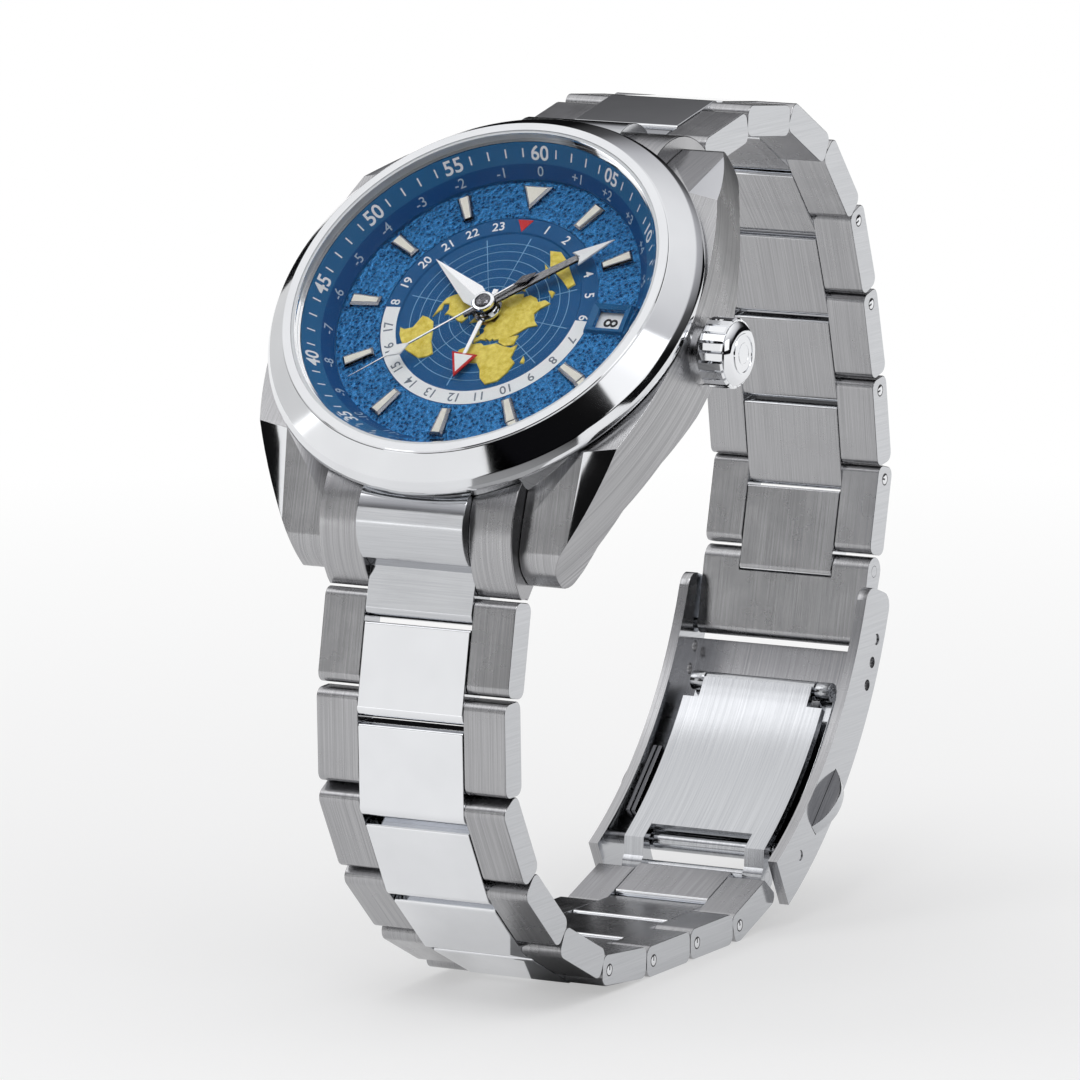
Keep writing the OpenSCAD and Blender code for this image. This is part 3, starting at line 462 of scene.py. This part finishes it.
def finish_piece(bm, name, body, mats, node=None, where=None, smooth=35):
    """Make the object, let it ride on its body and take the place of its CAD node."""
    if where is not None:
        bmesh.ops.transform(bm, matrix=where, verts=bm.verts)
    data = bpy.data.meshes.new(name)
    bm.to_mesh(data)
    bm.free()
    data.shade_smooth()
    data.set_sharp_from_angle(angle=math.radians(smooth))
    for mat in mats:
        data.materials.append(mat)
    piece = bpy.data.objects.new(name, data)
    bpy.context.collection.objects.link(piece)
    weighted = piece.modifiers.new("normals", "WEIGHTED_NORMAL")
    weighted.keep_sharp = True
    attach(piece, body)
    if node:
        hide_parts(*node)
    return piece

print("solid tools ready")

# %% [markdown]
# One row is two brushed outer links, a polished centre link set one half step further on, and
# two pins. The hinge joints say where each row starts and which way it runs, so the same few
# lines make all seventeen. Rows near the clasp can be taken out, so their split pins show at
# the sides. The last front row is cut at a slant, where it meets the folding blade. Its hinge
# opens six degrees past straight, so the limit of that hinge tells how the row lies.

# %% Find where the rows are
PITCH, HALF, REACH = 9.1, 1.5, 1.2
NOSE, PAST_STRAIGHT = 0.9, 6
FRONT_ROWS, REAR_ROWS = 9, 8
sweep = math.hypot(REACH - NOSE, HALF - NOSE) + NOSE

def row_frames(kind, count, outward, end_turn):
    at = [Vector(joint[f"{kind}_hinge_{k + 1}"]["pos_m"]) for k in range(count)]
    frames = []
    for k in range(count):
        if k + 1 < count:
            run = (at[k + 1] - at[k]).normalized()
        elif kind == "rear":
            run = (Vector(joint["end_piece_hinge"]["pos_m"]) - at[k]).normalized()
        else:
            run = Matrix.Rotation(math.radians(end_turn), 3, "X") @ run
        out = Vector((0, run.z, -run.y)) * outward
        frames.append(Matrix.Translation(at[k]) @ Matrix((run.cross(out), run, out)).transposed().to_4x4())
    return frames

last_turn = joint["front_hinge_9"]["range_deg"][1] - PAST_STRAIGHT
front_frames = row_frames("front", FRONT_ROWS, 1, last_turn)
rear_frames = row_frames("rear", REAR_ROWS, -1, 0)
print("rows start at", [[round(v / MM, 1) for v in f.translation.yz] for f in front_frames])

# %% Build the link rows
LUG_WIDE, TAPER, CENTRE_SHARE = 20, 2, 0.555
END_GAP, SIDE_GAP, PROUD, EDGE = 0.06, 0.05, 0.1, 0.1
OUTER_REACH, CENTRE_TAIL = 1.3, 0.25
# A dark ring round each pin head is painted shade of its hole, and a dark bar across the head is painted
# shade in its split.
HOLE_SHADE_R, PIN_R, PIN_DEEP, SLOT_SHADE_HALF = 0.62, 0.5, 0.3, 0.09
FIRST_SHOWN = {"front": 5, "rear": 4}
SLANT_DEG, OUTER_CUT, CENTRE_CUT = 34, 1.65, 0.9
slant = Matrix.Rotation(math.radians(-SLANT_DEG), 3, "X") @ Vector((0, 1, 0))

def slant_cut(before):
    return (Vector((0, PITCH, 0)) - slant * before) * MM, slant

def pin_head(bm, side, half):
    def span(proud):
        return sorted((side * (half - PIN_DEEP), side * (half + proud)))
    # Painted shade: a dark ring for the hole round the pin and, below, a dark bar for the split.
    join_into(bm, pin_part(HOLE_SHADE_R, *span(0.002), 0.02), slot=2)
    join_into(bm, pin_part(PIN_R, *span(0.02), 0.06), slot=3)
    x0, x1 = span(0.03)
    join_into(bm, block((x0, -SLOT_SHADE_HALF, -0.5), (x1, SLOT_SHADE_HALF, 0.02), 0, 0, 0.01), slot=2)

def link_row(kind, k, count, where):
    wide = LUG_WIDE - TAPER * min(1, (k + 0.5) / count)
    half, centre = wide / 2, wide * CENTRE_SHARE / 2
    last = kind == "front" and k == FRONT_ROWS - 1
    bm = bmesh.new()
    for side in (-1, 1):
        low_x, high_x = sorted((side * (centre + SIDE_GAP), side * half))
        low, high = (low_x, -OUTER_REACH, -HALF), (high_x, PITCH - sweep - END_GAP, HALF)
        part = block(low, high, NOSE, NOSE, EDGE, slant_cut(OUTER_CUT) if last else None)
        paint_faces(part, lambda face: 4 if abs(face.normal.x) > 0.9 else 0)
        join_into(bm, part, slot=None)
    low, high = (-centre, sweep + END_GAP, -HALF), (centre, PITCH + REACH, HALF + PROUD)
    part = block(low, high, CENTRE_TAIL, NOSE, EDGE, slant_cut(CENTRE_CUT) if last else None)
    paint_faces(part, lambda face: 0 if face.normal.z < -0.9 else 1)
    join_into(bm, part, slot=None)
    if k >= FIRST_SHOWN[kind]:
        for side in (-1, 1):
            pin_head(bm, side, half)
    name = f"{kind}_row_{k + 1}"
    # Slot 2 is the dark paint, here painted shade in the pin holes and splits.
    mats = (satin, polished, dark, polished, side_hair)
    return finish_piece(bm, "links_" + name, f"{kind}_{k + 1}", mats, [name], where)

for kind, frames in (("front", front_frames), ("rear", rear_frames)):
    for k, where in enumerate(frames):
        link_row(kind, k, len(frames), where)
print(FRONT_ROWS + REAR_ROWS, "rows, each from pin to pin", PITCH, "mm")

# %% [markdown]
# The case, the end links and the clasp have shapes that the CAD model already holds exactly. A
# copy of each is merged and its flat faces are joined, and then every sharp edge is broken by a
# narrow bevel, as a polisher does. Faces get their finish from the way they look.

# %% Small tools for refined copies
MERGE_M, FLAT_DEG = 2e-6, 0.5
to_head = HEAD.inverted()
turn_head = to_head.to_3x3()

def copied(node):
    part = bmesh.new()
    part.from_mesh(frame["nodes"][node].data)
    bmesh.ops.remove_doubles(part, verts=part.verts, dist=MERGE_M)
    bmesh.ops.dissolve_limit(part, angle_limit=math.radians(FLAT_DEG), verts=part.verts, edges=part.edges)
    return part

print("copies are merged at", MERGE_M / MM, "mm")

# %% [markdown]
# The middle of the case is satin round the neck. Its flanks are brushed from lug to lug. Each
# lug has a polished facet on the outside and satin ones on its crest and towards the bracelet.

# %% Refine the case
FLANK, POLISH, SATIN = 0, 1, 2
outer_facet = Vector((0.1, 0.5, 0.86)).normalized()

def case_finish(face):
    p, n = to_head @ face.calc_center_median() / MM, turn_head @ face.normal
    outward = Vector((math.copysign(1, p.x) * n.x, math.copysign(1, p.y) * n.y, n.z))
    if outward.x < 0.05 and outward.y > 0.3:
        return SATIN
    if outward.dot(outer_facet) > 0.99:
        return POLISH
    if outward.y > 0.8 and abs(p.y) > 20:
        return SATIN
    if outward.x > 0.8 and abs(p.x) > 12:
        return FLANK
    return POLISH if abs(p.y) > 14 else SATIN

part = copied("mid_case")
paint_faces(part, case_finish)
soften(part, 0.07, 28)
case_mats = (flank_steel, polished, satin)
case_piece = finish_piece(part, "case_middle", "case", case_mats, ["mid_case"], None, 24)
print("case faces:", len(case_piece.data.polygons))

# %% [markdown]
# An end link is three pieces side by side, brazed together: two satin ones and a rounded
# polished one between them. The copy is cut at the two joints and each part gets its own
# broken edges, which leaves a fine groove.

# %% Refine the end links
CENTRE_HALF, SIDE_START = 5.55, 5.58

def end_link_piece(node):
    bm = bmesh.new()
    for side, slot in ((-1, 0), (0, 1), (1, 0)):
        part = copied(node)
        if side:
            cut_off(part, Vector((side * SIDE_START * MM, 0, 0)), Vector((-side, 0, 0)))
        else:
            for s in (-1, 1):
                cut_off(part, Vector((s * CENTRE_HALF * MM, 0, 0)), Vector((s, 0, 0)))
        soften(part, 0.09, 30)
        join_into(bm, part, slot=slot)
    return finish_piece(bm, node + "_parts", "case", (satin, side_hair), [node], None, 26)

for node in ("end_link_front", "end_link_rear"):
    print(node, len(end_link_piece(node).data.polygons), "faces")

# %% [markdown]
# Round pieces such as the bezel, the crystal and the sloped ring are turned: a profile is drawn
# once and spun about the axis of the dial. A profile lists its corners as radius and height.

# %% Small tools for turned and flat pieces
def turned(profile, steps=128):
    part = bmesh.new()
    verts = [part.verts.new((r * MM, 0, z * MM)) for r, z in profile]
    edges = [part.edges.new((verts[i - 1], verts[i])) for i in range(len(verts))]
    bmesh.ops.spin(part, geom=verts + edges, cent=(0, 0, 0), axis=(0, 0, 1), angle=math.tau, steps=steps,
                   use_merge=True, use_duplicate=False)
    bmesh.ops.remove_doubles(part, verts=part.verts, dist=1e-7)
    bmesh.ops.recalc_face_normals(part, faces=part.faces)
    return part

def plate_part(outline, low, high, edge=0.0):
    part = bmesh.new()
    face = part.faces.new([part.verts.new((x * MM, y * MM, low * MM)) for x, y in outline])
    made = bmesh.ops.extrude_face_region(part, geom=[face])
    raised = [v for v in made["geom"] if isinstance(v, bmesh.types.BMVert)]
    bmesh.ops.translate(part, vec=(0, 0, (high - low) * MM), verts=raised)
    bmesh.ops.recalc_face_normals(part, faces=part.faces)
    if edge:
        rim = [e for e in part.edges if all(v.co.z > (high - 1e-4) * MM for v in e.verts)
               and len({round(f.normal.z, 2) for f in e.link_faces}) > 1]
        bevel(part, rim, edge, 1)
    return part

def clock(radius, degrees, up=0.0):
    a = math.radians(90 - degrees)
    return Vector((radius * math.cos(a), radius * math.sin(a), up)) * MM

def turned_to(degrees):
    return Matrix.Rotation(math.radians(-degrees), 4, "Z")

def number_part(words, size, radius, degrees, low, high, bold=0.0):
    curve = bpy.data.curves.new("number", "FONT")
    curve.body, curve.size, curve.align_x, curve.align_y = words, size * MM, "CENTER", "CENTER"
    curve.offset = bold * MM
    curve.extrude = (high - low) * MM / 2
    curve.resolution_u = 4
    text = bpy.data.objects.new("number", curve)
    bpy.context.collection.objects.link(text)
    bpy.context.view_layer.update()
    data = bpy.data.meshes.new_from_object(text.evaluated_get(bpy.context.evaluated_depsgraph_get()))
    bpy.data.objects.remove(text)
    part = bmesh.new()
    part.from_mesh(data)
    bpy.data.meshes.remove(data)
    bmesh.ops.remove_doubles(part, verts=part.verts, dist=1e-7)
    low_c = Vector((min(v.co.x for v in part.verts), min(v.co.y for v in part.verts), 0))
    high_c = Vector((max(v.co.x for v in part.verts), max(v.co.y for v in part.verts), 0))
    bmesh.ops.translate(part, vec=-(low_c + high_c) / 2, verts=part.verts)
    where = Matrix.Translation(clock(radius, degrees, (low + high) / 2)) @ turned_to(degrees)
    bmesh.ops.transform(part, matrix=where, verts=part.verts)
    return part

print("tools for turned and flat pieces ready")

# %% [markdown]
# The crown is a fluted barrel: twenty-two flat lands with a thin groove between them, so a finger
# can turn it. Rings of points are drawn one behind the other and bridged into a skin. The flat
# end carries two plain raised rings.

# %% Shape the crown
LANDS, GROOVE_HALF = 22, 0.042

def lofted(rings, closed=False):
    part = bmesh.new()
    loops = []
    for ring in rings:
        verts = [part.verts.new(Vector(p) * MM) for p in ring]
        loops.append([part.edges.new((verts[i - 1], verts[i])) for i in range(len(verts))])
    for near, far in zip(loops, loops[1:] + loops[:1] if closed else loops[1:]):
        bmesh.ops.bridge_loops(part, edges=near + far)
    if not closed:
        for loop in (loops[0], loops[-1]):
            bmesh.ops.edgeloop_fill(part, edges=loop)
    bmesh.ops.recalc_face_normals(part, faces=part.faces)
    return part

def crown_ring(radius, z, groove):
    points = []
    for land in range(LANDS):
        for step in (-1, 0, 1):
            a = math.tau * land / LANDS + step * GROOVE_HALF
            r = radius - (0 if step else groove)
            points.append((r * math.cos(a), r * math.sin(a), z))
    return points

skin = [(1.53, 2.1, 0), (1.53, 0.3, 0), (2.26, 0.3, 0), (2.26, 0.1, 0), (2.9, 0.1, 0.1), (3.12, 0.12, 0.2),
        (3.25, 0.24, 0.32), (3.25, 2.44, 0.32), (3.12, 2.6, 0.2)]
collar = [(2.26, 0.0), (2.75, 0.0), (2.75, 0.2), (2.26, 0.2)]
cap = [(0, 2.5), (2.95, 2.5), (2.95, 2.64), (2.88, 2.76), (2.5, 3.14), (2.38, 3.19), (1.85, 3.22),
       (0.9, 3.3), (0, 3.35)]
crown_at = Vector(joint["crown_turn"]["pos_m"])
start_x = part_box("crown")[0][0]
on_stem = Matrix.Translation((start_x, crown_at.y, crown_at.z)) @ Matrix.Rotation(math.pi / 2, 4, "Y")
bm = bmesh.new()
join_into(bm, lofted([crown_ring(*ring) for ring in skin]))
join_into(bm, turned(collar, 64))
join_into(bm, turned(cap, 64))
for radius in (1.78, 0.95):
    ring = [(radius - 0.12, 3.15), (radius + 0.12, 3.15), (radius + 0.08, 3.32), (radius - 0.08, 3.32)]
    join_into(bm, turned(ring, 64))
finish_piece(bm, "crown_grip", "crown", (polished,), ["crown"], on_stem, 24)
print("crown starts at", round(start_x / MM, 2), "mm")

# %% [markdown]
# The clasp is folded and pressed steel: a curved cover with two deep side walls, two thin
# curved blades and two push buttons. Walls that face sideways are polished, the cover is satin
# and the blades are finely brushed.

# %% Refine the clasp
clasp = {
    "clasp_cover": ("cover", 0.09, satin), "clasp_end_piece": ("end_piece", 0.08, satin),
    "outer_blade": ("outer_blade", 0.05, inner_steel), "inner_blade": ("inner_blade", 0.05, inner_steel),
    "button_right": ("button_right", 0.06, grey_steel), "button_left": ("button_left", 0.06, grey_steel),
}
for node, (body, edge, under) in clasp.items():
    part = copied(node)
    facing = 0.1 if node.startswith("button") else 0.9
    paint_faces(part, lambda face: 1 if abs(face.normal.x) > facing else 0)
    soften(part, edge, 32)
    piece = finish_piece(part, node + "_part", body, (under, side_hair), [node], None, 28)
    print(node, len(piece.data.polygons), "faces")

# %% [markdown]
# The bezel is one polished ring: a narrow flat lip, a small step below it and a wide slope down
# to a rounded edge. The crystal is a flat disc with a small chamfer, just above the lip.

# %% Turn the bezel and the crystal
bezel_profile = [(18.0, 4.05), (18.78, 4.05), (18.85, 3.99), (18.86, 3.84), (18.93, 3.80), (20.80, 2.06),
                 (20.92, 1.92), (21.26, 1.36), (21.3, 1.2), (21.3, 0.8), (21.24, 0.6), (21.05, 0.42),
                 (18.42, 0.41), (18.4, 0.33), (17.41, 0.33), (17.41, 2.9), (18.0, 2.9)]
finish_piece(turned(bezel_profile, 192), "bezel_ring", "case", (bezel_steel,), ["bezel"], HEAD, 16)
crystal_profile = [(0, 2.94), (17.68, 2.94), (17.68, 3.98), (17.5, 4.14), (0, 4.14)]
finish_piece(turned(crystal_profile, 160), "crystal_disc", "case", (glass,), ["crystal"], HEAD, 20)
print("bezel profile corners:", len(bezel_profile))

# %% [markdown]
# The middle of the dial is a sunk disc with a 24-hour scale round it. The lower half of the
# scale, the hours of daylight, is white. A globe seen from above the pole fills the disc, with
# its land raised and painted yellow. The outlines are drawn from rough degrees of latitude and
# longitude, so they are nobody's map.

# %% Sketch the land
DEGREE = 0.069

def on_globe(lat, lon):
    p = clock(DEGREE * (90 - lat), 180 - lon) / MM
    return (p.x, p.y)

land = {
    "europe_asia": [(71, 28), (67, 42), (70, 68), (76, 100), (72, 130), (70, 160), (66, 178), (60, 163),
                    (55, 158), (60, 155), (59, 142), (53, 140), (43, 132), (38, 128), (40, 121),
                    (30, 121), (22, 113), (20, 107), (10, 108), (2, 103), (15, 98), (22, 91), (16, 82),
                    (8, 78), (20, 72), (25, 62), (29, 50), (22, 59), (14, 48), (20, 39), (30, 34),
                    (36, 36), (37, 28), (41, 28), (38, 22), (42, 18), (44, 13), (40, 17), (43, 6),
                    (37, -3), (43, -8), (47, 0), (53, 7), (57, 10), (60, 6), (66, 12)],
    "africa": [(35, -5), (37, 9), (32, 14), (31, 31), (22, 37), (12, 44), (10, 51), (-4, 40), (-15, 41),
               (-25, 34), (-34, 26), (-34, 18), (-22, 14), (-8, 13), (4, 9), (5, -4), (12, -16),
               (21, -17), (29, -10)],
    "north_america": [(70, -158), (69, -135), (68, -110), (72, -95), (68, -82), (60, -93), (53, -80),
                      (60, -75), (60, -65), (50, -57), (45, -65), (40, -74), (30, -81), (26, -80),
                      (30, -88), (27, -97), (19, -95), (20, -88), (15, -84), (9, -79), (14, -92),
                      (18, -103), (25, -110), (33, -117), (45, -124), (55, -130), (60, -145), (57, -157),
                      (60, -165), (65, -167)],
    "south_america": [(11, -73), (10, -62), (4, -51), (-4, -37), (-12, -38), (-23, -42), (-33, -54),
                      (-36, -63), (-37, -68), (-36, -73), (-30, -71), (-18, -71), (-6, -81), (2, -79)],
    "australia": [(-13, 131), (-12, 142), (-20, 148), (-28, 153), (-36, 146), (-34, 137), (-31, 125),
                  (-33, 116), (-22, 114), (-17, 123)],
    "greenland": [(81, -50), (81, -20), (72, -22), (66, -38), (60, -45), (68, -53), (76, -68)],
    "islands": [(-1, 132), (-3, 141), (-9, 147), (-8, 138), (-3, 133)],
    "sunda": [(5, 118), (0, 117), (-4, 114), (1, 109)],
    "madagascar": [(-13, 49), (-20, 48), (-25, 46), (-20, 44)],
    "britain": [(58, -5), (55, -2), (52, 1), (50, -4), (54, -4)],
    "japan": [(44, 143), (39, 141), (34, 137), (34, 131), (39, 139)],
}
print("pieces of land:", len(land))

# %% Draw the scale and the globe
DISC_TOP, BAND_TOP, INK = -0.19, -0.061, 0.015
CIRCLES = (1.9, 2.9, 3.9, 4.9, 5.9, 6.9, 7.8)

def sector(r0, r1, a0, a1, low, high, steps=48):
    outline = [clock(r1, a0 + (a1 - a0) * i / steps) / MM for i in range(steps + 1)]
    outline += [clock(r0, a1 + (a0 - a1) * i / steps) / MM for i in range(steps + 1)]
    return plate_part([(p.x, p.y) for p in outline], low, high)

bm = bmesh.new()
disc_profile = [(1.52, DISC_TOP), (8.95, DISC_TOP), (9.1, -0.06), (10.66, -0.06), (10.68, -0.02),
                (10.72, -0.02), (10.72, -0.196), (1.52, -0.196)]
join_into(bm, turned(disc_profile, 160), slot=0)
join_into(bm, sector(9.14, 10.62, 92, 268, -0.062, -0.045), slot=1)
for r in CIRCLES:
    line = [(r, -0.191), (r, -0.17), (r + 0.035, -0.155), (r + 0.07, -0.17), (r + 0.07, -0.191)]
    join_into(bm, turned(line, 96), slot=2)
for hour in range(0, 24, 2):
    bearing = hour * 15 + 8
    join_into(bm, sector(1.9, 8.6, bearing - 0.3, bearing + 0.3, -0.191, -0.165, 1), slot=2)
finish_piece(bm, "globe_disc", "case", (disc_blue, white, line_blue), ["map_disc"], HEAD)
bm = bmesh.new()
for outline in land.values():
    join_into(bm, plate_part([on_globe(*p) for p in outline], DISC_TOP, -0.03, 0.06))
finish_piece(bm, "globe_land", "case", (land_yellow,), None, HEAD)
bm = bmesh.new()
for hour in range(1, 24):
    night = hour <= 6 or hour >= 18
    low = BAND_TOP if night else BAND_TOP + INK
    join_into(bm, number_part(str(hour), 1.32, 9.88, hour * 15, low, -0.03, 0.012), slot=0 if night else 1)
finish_piece(bm, "scale_numbers", "case", (white, grey_print), None, HEAD)
triangle = plate_part([(-0.8, 10.5), (0, 9.15), (0.8, 10.5)], BAND_TOP, -0.02)
finish_piece(triangle, "scale_triangle", "case", (red,), None, HEAD)
print("scale and globe drawn, with", len(CIRCLES), "circles")

# %% [markdown]
# The hour marks are applied batons of polished steel with a cream luminous top. Their steel is
# coloured much darker than the other polished steel, a painted dark reflection. The window at
# three o'clock has a bevelled frame, and the date ring turns under it.

# %% Set the hour marks
MARK_TOP, GLOW = 0.44, (0.42, 0.47)

def baton(half_long, half_in, half_out, low, high, edge):
    outline = [(-half_in, -half_long), (half_in, -half_long), (half_out, half_long), (-half_out, half_long)]
    return plate_part(outline, low, high, edge)

bm = bmesh.new()
for hour in (1, 2, 4, 5, 6, 7, 8, 9, 10, 11):
    where = Matrix.Translation(clock(12.82, hour * 30)) @ turned_to(hour * 30)
    join_into(bm, baton(1.5, 0.5, 0.68, 0.0, MARK_TOP, 0.16), where, 0)
    join_into(bm, baton(1.32, 0.24, 0.38, *GLOW, 0.02), where, 1)
where = Matrix.Translation(clock(13.0, 0))
join_into(bm, plate_part([(-1.55, 1.2), (1.55, 1.2), (0, -1.5)], 0.0, MARK_TOP, 0.14), where, 0)
join_into(bm, plate_part([(-1.12, 0.98), (1.12, 0.98), (0, -1.02)], *GLOW, 0.03), where, 1)
# Slot 0 is the darkened baton steel, a painted dark reflection on the batons' sides.
finish_piece(bm, "hour_batons", "case", (baton_steel_painted_dark_reflection, cream), ["hour_markers"], HEAD, 25)
print("hour marks set")

# %% Set the date window
WINDOW_AT, DAYS, TODAY = 12.55, 31, 8

def corners(half_x, half_y, z):
    return [(x * half_x, y * half_y, z) for x, y in ((-1, -1), (1, -1), (1, 1), (-1, 1))]

frame_part = lofted([corners(2.1, 1.65, 0.0), corners(1.95, 1.5, 0.34), corners(1.36, 1.06, 0.12),
                     corners(1.36, 1.06, 0.0)], True)
at_window = HEAD @ Matrix.Translation((WINDOW_AT * MM, 0, 0))
finish_piece(frame_part, "date_frame", "case", (ring_blue,), None, at_window, 20)
bm = bmesh.new()
join_into(bm, turned([(10.9, -0.85), (14.0, -0.85), (14.0, -0.56), (10.9, -0.56)]), slot=0)
for day in range(DAYS):
    words = str((day + TODAY - 1) % DAYS + 1)
    join_into(bm, number_part(words, 2.0, 12.5, 90 + day * 360 / DAYS, -0.56, -0.54, 0.02), slot=1)
finish_piece(bm, "date_numbers", "date_ring", (white, dark), ["date_ring"], HEAD)
print("window and", DAYS, "days set")

# %% [markdown]
# A sloped ring rises from the dial to the crystal. It has two bands: a darker one below with
# small figures, and a brighter one above with large ones. Plain minutes and hours fill them.

# %% Turn the sloped ring and print it
SLOPE_FROM, SLOPE_WIDE, SLOPE_HIGH = (15.0, 0.35), 2.2, 2.51
RING_TILT = math.atan2(SLOPE_HIGH, SLOPE_WIDE)
UPPER, LOWER = 0.74, 0.22
TICK_HALF, TICK_LONG = 0.07, 0.42

def slope(t):
    return SLOPE_FROM[0] + SLOPE_WIDE * t, SLOPE_FROM[1] + SLOPE_HIGH * t

def on_slope(part, degrees, t):
    r, z = slope(t)
    lift = turned_to(degrees) @ Matrix.Translation((0, r * MM, z * MM)) @ Matrix.Rotation(RING_TILT, 4, "X")
    bmesh.ops.transform(part, matrix=lift, verts=part.verts)
    return part

ring_profile = [(15.0, 0.01), slope(0.0), slope(0.43), slope(0.47), slope(1.0), (17.37, 2.86),
                (17.37, 0.34), (16.28, 0.34), (16.28, 0.01)]
part = turned(ring_profile, 160)
for face in part.faces:
    middle = face.calc_center_median() / MM
    face.material_index = 0 if math.hypot(middle.x, middle.y) < 15.95 and middle.z > 0.3 else 1
finish_piece(part, "sloped_ring", "case", (ring_deep, ring_blue), ["chapter_ring"], HEAD, 25)

bm = bmesh.new()
for step in range(12):
    number = number_part(f"{step * 5 or 60:02d}", 1.95, 0, 0, 0.0, 0.02, 0.03)
    join_into(bm, on_slope(number, step * 30, UPPER), slot=0)
for step in range(60):
    if step % 5:
        tick = baton(TICK_LONG, TICK_HALF, TICK_HALF, 0.0, INK, 0.0)
        join_into(bm, on_slope(tick, step * 6, UPPER), slot=0)
for hour in range(24):
    shift = hour if hour <= 12 else hour - 24
    number = number_part(f"{shift:+d}" if shift else "0", 1.35, 0, 0, 0.0, INK)
    join_into(bm, on_slope(number, hour * 15, LOWER), slot=1)
finish_piece(bm, "ring_print", "case", (white, pale_print), None, HEAD)
print("ring printed")

# %% [markdown]
# Four hands share the middle. The hour hand is a faceted kite, half white and half polished. The
# minute hand is a long dark taper with a white arrow. The 24-hour hand ends in a triangle with
# a red edge, and the seconds hand is a needle with a white lozenge.

# %% Shape the hands
hour_a, minute_a, seconds_a, home_a = 304.3, 51.8, 228.0, 184.0

def hub(inner, outer, low, high):
    return turned([(inner, low), (outer, low), (outer, high), (inner, high)], 48)

bm = bmesh.new()
for side, slot in ((-1, 0), (1, 1)):
    half = plate_part([(0, -1.6), (0.35 * side, -1.6), (1.15 * side, 2.2), (0, 8.55)][::side], 0.63, 0.72)
    for v in half.verts:
        if abs(v.co.x) < 1e-7 and v.co.z > 0.7 * MM and v.co.y > -1.5 * MM:
            v.co.z += 0.1 * MM
    join_into(bm, half, slot=slot)
join_into(bm, hub(0.8, 1.15, 0.63, 0.81), slot=1)
at_hour = HEAD @ turned_to(hour_a)
finish_piece(bm, "hour_kite", "hour", (white, polished), ["hour_hand"], at_hour, 15)

bm = bmesh.new()
taper = [(-0.36, -2.2), (0.36, -2.2), (0.62, 0), (0.42, 9.6), (-0.42, 9.6), (-0.62, 0)]
join_into(bm, plate_part(taper, 0.95, 1.12, 0.1), slot=0)
join_into(bm, plate_part([(-0.85, 9.3), (0, 9.75), (0.85, 9.3), (0, 13.35)], 0.95, 1.14, 0.06), slot=1)
join_into(bm, hub(0.53, 0.95, 0.95, 1.14), slot=0)
at_minute = HEAD @ turned_to(minute_a)
finish_piece(bm, "minute_taper", "minute", (grey_steel, white), ["minute_hand"], at_minute, 20)

bm = bmesh.new()
join_into(bm, plate_part([(-0.28, -2.2), (0.28, -2.2), (0.2, 5.4), (-0.2, 5.4)], 0.31, 0.46, 0.05), slot=0)
join_into(bm, plate_part([(-1.35, 5.2), (1.35, 5.2), (0, 7.9)], 0.31, 0.46, 0.05), slot=1)
join_into(bm, plate_part([(-0.98, 5.42), (0.98, 5.42), (0, 7.38)], 0.44, 0.49), slot=2)
join_into(bm, hub(1.13, 1.5, 0.31, 0.49), slot=0)
at_home = HEAD @ turned_to(home_a)
finish_piece(bm, "home_arrow", "home_time", (polished, red, white), ["gmt_hand"], at_home, 20)

bm = bmesh.new()
needle = [(-0.1, -3.3), (0.1, -3.3), (0.1, 8.0), (0.03, 14.2), (-0.03, 14.2), (-0.1, 8.0)]
join_into(bm, plate_part(needle, 1.31, 1.42, 0.02), slot=0)
join_into(bm, plate_part([(0, 7.7), (0.66, 9.0), (0, 10.3), (-0.66, 9.0)], 1.3, 1.44, 0.05), slot=1)
join_into(bm, plate_part([(0, -5.6), (0.44, -4.3), (0, -3.0), (-0.44, -4.3)], 1.3, 1.44, 0.05), slot=2)
cap = [(0, 1.23), (1.08, 1.23), (1.1, 1.26), (1.1, 1.5), (1.02, 1.56), (0.8, 1.58), (0.78, 1.63),
       (0.66, 1.7), (0.44, 1.75), (0.2, 1.78), (0, 1.79)]
part = turned(cap, 64)
for face in part.faces:
    face.material_index = 2 if face.calc_center_median().xy.length < 0.79 * MM and face.normal.z > 0 else 0
join_into(bm, part, slot=None)
at_second = HEAD @ turned_to(seconds_a)
needle_mats = (polished, white, black_chrome)
finish_piece(bm, "seconds_needle", "seconds", needle_mats, ["seconds_hand"], at_second, 20)
print("four hands set at 10:08:38")
